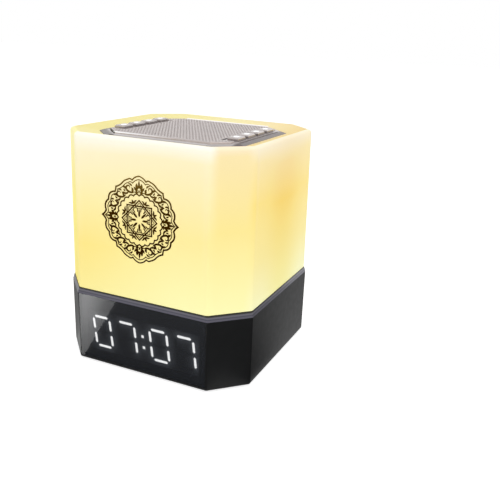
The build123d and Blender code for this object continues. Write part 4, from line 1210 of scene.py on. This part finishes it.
# ---------------------------------------------------------------- panel bead
@dataclass
class PanelBead:
    """Polished bead along the back of the control panel, behind the grille, that glows a little as a painted
    highlight. Sizes are in millimetres.
    """

    panel_top: float = 127.4
    middle: tuple[float, float] = (0.4, 38.9)
    length: float = 55.6
    width: float = 1.5
    rise: float = 0.95
    rounding: float = 0.25
    sunk: float = 0.05

    def profile(self) -> list[Point2]:
        """Section across the bead.

        Returns:
            Its corners: distance from the bead's middle, and height over the panel.
        """
        half, shoulder = self.width / 2, self.rise - self.rounding
        flat = half - self.rounding
        return [(-half, -self.sunk), (-half, shoulder), (-flat, self.rise), (flat, self.rise), (half, shoulder),
                (half, -self.sunk)]

    def build(self) -> None:
        """Makes the bead on the panel."""
        build = bmesh.new()
        x0, y0 = self.middle
        section = [build.verts.new(Vector((x0 - self.length / 2, y0 + y, self.panel_top + z)) * MM)
                   for y, z in self.profile()]
        end = build.faces.new(section)
        drawn = bmesh.ops.extrude_face_region(build, geom=[end], use_keep_orig=True)
        bmesh.ops.translate(build, vec=Vector((self.length * MM, 0, 0)),
                            verts=[g for g in drawn["geom"] if isinstance(g, BMVert)])
        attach(new_object("panel_bead", as_mesh(build, "bead"), POLISHED_HIGHLIGHT), BODY)


# ---------------------------------------------------------------- display
@dataclass
class Display:
    """The black housing behind the lens, with stray light round the lit segments. Sizes are in millimetres."""

    cell: float = 0.7
    reach: float = 1.8
    setback: float = 0.02
    stretches: int = 6

    def lit_points(self) -> list[Vector]:
        """Finds where light leaves the lit segments.

        Returns:
            Points along the edges of their front faces, in metres.
        """
        segments = frame["nodes"]["lit_segments"].data
        front = min(v.co.y for v in segments.vertices)
        points = []
        for edge in segments.edges:
            a, b = (segments.vertices[i].co for i in edge.vertices)
            if max(a.y, b.y) - front < NEAR:
                points += [a.lerp(b, t / self.stretches) for t in range(self.stretches + 1)]
        return points

    def build(self) -> None:
        """Makes the housing in place of its plain solid."""
        low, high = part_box("display_housing")
        columns = round((high.x - low.x) / (self.cell * MM))
        rows = round((high.z - low.z) / (self.cell * MM))
        y0 = low.y + self.setback * MM
        build = bmesh.new()
        grid = []
        for i in range(rows + 1):
            z = low.z + (high.z - low.z) * i / rows
            grid.append([build.verts.new((low.x + (high.x - low.x) * j / columns, y0, z)) for j in range(columns + 1)])
        for i in range(rows):
            for j in range(columns):
                build.faces.new((grid[i][j], grid[i][j + 1], grid[i + 1][j + 1], grid[i + 1][j]))
        pushed = bmesh.ops.extrude_edge_only(build, edges=[e for e in build.edges if e.is_boundary])
        for vert in (g for g in pushed["geom"] if isinstance(g, BMVert)):
            vert.co.y = high.y
        bmesh.ops.contextual_create(build, geom=[e for e in build.edges if e.is_boundary])
        mesh = as_mesh(build, "housing")
        self.add_halo(mesh, y0)
        housing = new_object("display_face", mesh, HALO)
        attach(housing, BODY)
        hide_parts("display_housing")

    def add_halo(self, mesh: Mesh, y0: float) -> None:
        """Stores how much stray light each point of the front gets.

        Args:
            mesh: the housing.
            y0: place of its front, in metres.
        """
        lit = self.lit_points()
        tree = KDTree(len(lit))
        for i, point in enumerate(lit):
            tree.insert(point, i)
        tree.balance()
        halo = mesh.attributes.new("halo", "FLOAT", "POINT")
        for vert, value in zip(mesh.vertices, halo.data):
            distance = tree.find(vert.co)[2] / MM
            value.value = math.exp(-distance / self.reach) if abs(vert.co.y - y0) < NEAR else 0.0


# ---------------------------------------------------------------- the construction's own nodes
@dataclass
class Construction:
    """Dresses every carried-over node in the finish of its slot."""

    skip: tuple[str, ...] = ("lamp_shade", "display_housing")

    def build(self) -> None:
        """Gives each node its material."""
        slots = {row["node"]: row["material_slot"] for row in frame["record"]["subparts"]}
        for name, node in frame["nodes"].items():
            if name in self.skip:
                continue
            finish = Slot[slots[name]].value
            node.data.materials.clear()
            node.data.materials.append(finish.material())
            log.info("%s: %s", name, finish.name)


# ---------------------------------------------------------------- studio
@dataclass(frozen=True)
class Lamp:
    """A square soft lamp: where it hangs and its side, in metres, and its power in watts."""

    name: str
    place: Point3
    size: float
    power: float


@dataclass(frozen=True)
class Card:
    """A level card that only glossy surfaces see.

    Fields:
        name: its name.
        points: its corners from above, in metres.
        light: its brightness at either end of the span, where 1 is white.
        along: the direction in which its brightness changes, seen from above.
        span: where the change starts and ends in that direction, in metres.
        height: how far it lies over the floor, in metres.
    """

    name: str
    points: tuple[Point2, ...]
    light: tuple[float, float]
    along: Point2 = (1.0, 0.0)
    span: tuple[float, float] = (0.0, 1.0)
    height: float = 0.0004


# edge that the bright card and the card in front of the clock share, from the clock outwards
WEDGE = ((-0.0404, -0.0600), (-0.0715, -0.1340), (-0.0872, -0.1710))


@dataclass
class Studio:
    """Camera, floor, lamps and cards. None of it belongs to the clock. Sizes are in metres."""

    camera_place: Point3 = (0.1769, -0.3190, 0.1782)
    azimuth: float = 23.68
    elevation: float = 18.39
    roll: float = 2.45
    lens: float = 45.86
    floor_size: float = 6.0
    floor_white: float = 0.74
    world_light: float = 0.46
    lamps_aim: Point3 = (0.0, 0.0, 0.06)
    lamps: tuple[Lamp, ...] = (
        Lamp("key_lamp", (0.75, -0.85, 0.9), 0.8, 4.6),
        Lamp("fill_lamp", (-0.9, -0.8, 0.8), 1.0, 1.3),
        Lamp("top_lamp", (-0.2, 0.4, 1.3), 1.0, 3.0))
    cards: tuple[Card, ...] = (
        Card("front_card", (*WEDGE, (0.06, -0.171), (0.06, -0.06)), (0.24, 0.5), (0.0, -1.0), (0.06, 0.17)),
        Card("corner_card", ((0.06, -0.3), (0.5, -0.3), (0.5, -0.045), (0.06, -0.045)), (0.25, 0.25)),
        Card("white_card", (WEDGE[0], (-0.072, -0.057), (-0.14, -0.142), WEDGE[1]), (2.5, 6.3), (-0.897, 0.442),
             (0.0096, 0.0251), height=0.0003),
        Card("left_card", ((-0.059, -0.04), (-0.06, 0.3), (-0.5, 0.3), (-0.5, -0.02)), (0.55, 0.65), (-1.0, 0.0),
             (0.06, 0.3)),
        Card("right_card", ((0.06, -0.045), (0.5, -0.045), (0.5, 0.3), (0.06, 0.3)), (0.05, 0.95), (-0.9, 0.44),
             (-0.070, -0.047)),
        Card("ceiling_card", ((-1.6, -1.6), (1.6, -1.6), (1.6, 1.6), (-1.6, 1.6)), (0.6, 0.6), height=0.9))

    def add_camera(self) -> None:
        """Adds the camera, looking down at the clock from the front right."""
        az, el, roll = (math.radians(a) for a in (self.azimuth, self.elevation, self.roll))
        ahead = Vector((-math.sin(az) * math.cos(el), math.cos(az) * math.cos(el), -math.sin(el)))
        right = Vector((math.cos(az), math.sin(az), 0))
        up = right.cross(ahead)
        turned_right = right * math.cos(roll) + up * math.sin(roll)
        turned_up = up * math.cos(roll) - right * math.sin(roll)
        data = bpy.data.cameras.new("camera")
        data.lens = self.lens
        data.clip_start = 0.01
        camera = put("camera", data)
        axes = Matrix((turned_right, turned_up, -ahead)).transposed().to_4x4()
        camera.matrix_world = Matrix.Translation(self.camera_place) @ axes
        bpy.context.scene.camera = camera

    def white_for_camera(self, tree: Tree, plain: Node, white: Node, output: str) -> None:
        """Shows white to the camera and to mirrors, and the plain shader to everything else.

        Args:
            tree: tree of the world or the floor.
            plain: shader for the light on the object.
            white: shader for what is seen.
            output: Blender's name of the output node.
        """
        path = add_node(tree, "ShaderNodeLightPath").outputs
        seen = add_node(tree, "ShaderNodeMath", {0: path["Is Camera Ray"], 1: path["Is Glossy Ray"]},
                        operation="MAXIMUM")
        seen = add_node(tree, "ShaderNodeMath", {0: seen, 1: path["Is Transmission Ray"]}, operation="MAXIMUM")
        add_node(tree, output, {"Surface": add_node(tree, "ShaderNodeMixShader", {0: seen, 1: plain, 2: white})})

    def add_world(self) -> None:
        """Adds an even white sky."""
        world = bpy.data.worlds.new("studio")
        tree = fresh_tree(world)
        plain = add_node(tree, "ShaderNodeBackground", {"Color": (1, 1, 1, 1), "Strength": self.world_light})
        white = add_node(tree, "ShaderNodeBackground", {"Color": (1, 1, 1, 1), "Strength": 1.0})
        self.white_for_camera(tree, plain, white, "ShaderNodeOutputWorld")
        bpy.context.scene.world = world

    def flat_piece(self, name: str, points: Sequence[Point3]) -> tuple[Object, Tree]:
        """Adds a flat piece of the studio, with an empty material.

        Args:
            name: its name, and its material's.
            points: its corners, in metres.

        Returns:
            The piece, and its material's node tree.
        """
        mesh = bpy.data.meshes.new(name)
        mesh.from_pydata(points, [], [tuple(range(len(points)))])
        material = bpy.data.materials.new(name)
        mesh.materials.append(material)
        piece = put(name, mesh)
        return piece, fresh_tree(material)

    def add_floor(self) -> None:
        """Adds the pale floor, which keeps the clock's shadow."""
        s = self.floor_size
        _, tree = self.flat_piece("floor", [(-s, -s, 0), (s, -s, 0), (s, s, 0), (-s, s, 0)])
        matte = add_node(tree, "ShaderNodeBsdfDiffuse", {"Color": linear("#E6E6E6")})
        paper = add_node(tree, "ShaderNodeEmission", {"Color": (1, 1, 1, 1), "Strength": self.floor_white})
        bright = add_node(tree, "ShaderNodeAddShader", {0: matte, 1: paper})
        self.white_for_camera(tree, matte, bright, "ShaderNodeOutputMaterial")

    def add_lamp(self, lamp: Lamp) -> None:
        """Adds a lamp that faces the clock.

        Args:
            lamp: its name, place, size and power.
        """
        data = bpy.data.lights.new(lamp.name, "AREA")
        data.size = lamp.size
        data.energy = lamp.power
        turn = (Vector(self.lamps_aim) - Vector(lamp.place)).to_track_quat("-Z", "Y").to_matrix().to_4x4()
        put(lamp.name, data).matrix_world = Matrix.Translation(lamp.place) @ turn

    def add_card(self, card: Card) -> None:
        """Adds a card that only glossy surfaces see.

        Args:
            card: its outline and its brightness.
        """
        piece, tree = self.flat_piece(card.name, [(x, y, card.height) for x, y in card.points])
        place = add_node(tree, "ShaderNodeTexCoord")
        way = add_node(tree, "ShaderNodeVectorMath", {0: place.outputs["Object"], 1: (*card.along, 0.0)},
                       operation="DOT_PRODUCT")
        fade = add_node(tree, "ShaderNodeMapRange", {
            "Value": way.outputs["Value"], "From Min": card.span[0], "From Max": card.span[1],
            "To Min": card.light[0], "To Max": card.light[1]})
        glow = add_node(tree, "ShaderNodeEmission", {"Strength": fade})
        add_node(tree, "ShaderNodeOutputMaterial", {"Surface": glow})
        piece.visible_camera = False
        piece.visible_diffuse = False
        piece.visible_shadow = False
        piece.visible_transmission = False

    def build(self) -> None:
        """Sets up the whole studio."""
        self.add_camera()
        self.add_world()
        self.add_floor()
        for lamp in self.lamps:
            self.add_lamp(lamp)
        for card in self.cards:
            self.add_card(card)
        bpy.context.scene.view_settings.view_transform = "Standard"


def main() -> None:
    """Builds the studio and the clock's pieces."""
    logging.basicConfig(level=logging.INFO, format="%(message)s")
    Studio().build()
    Construction().build()
    shade = Shade()
    shade.build()
    Medallion(shade).build()
    PanelBead().build()
    Display().build()


if __name__ == "__main__":
    main()
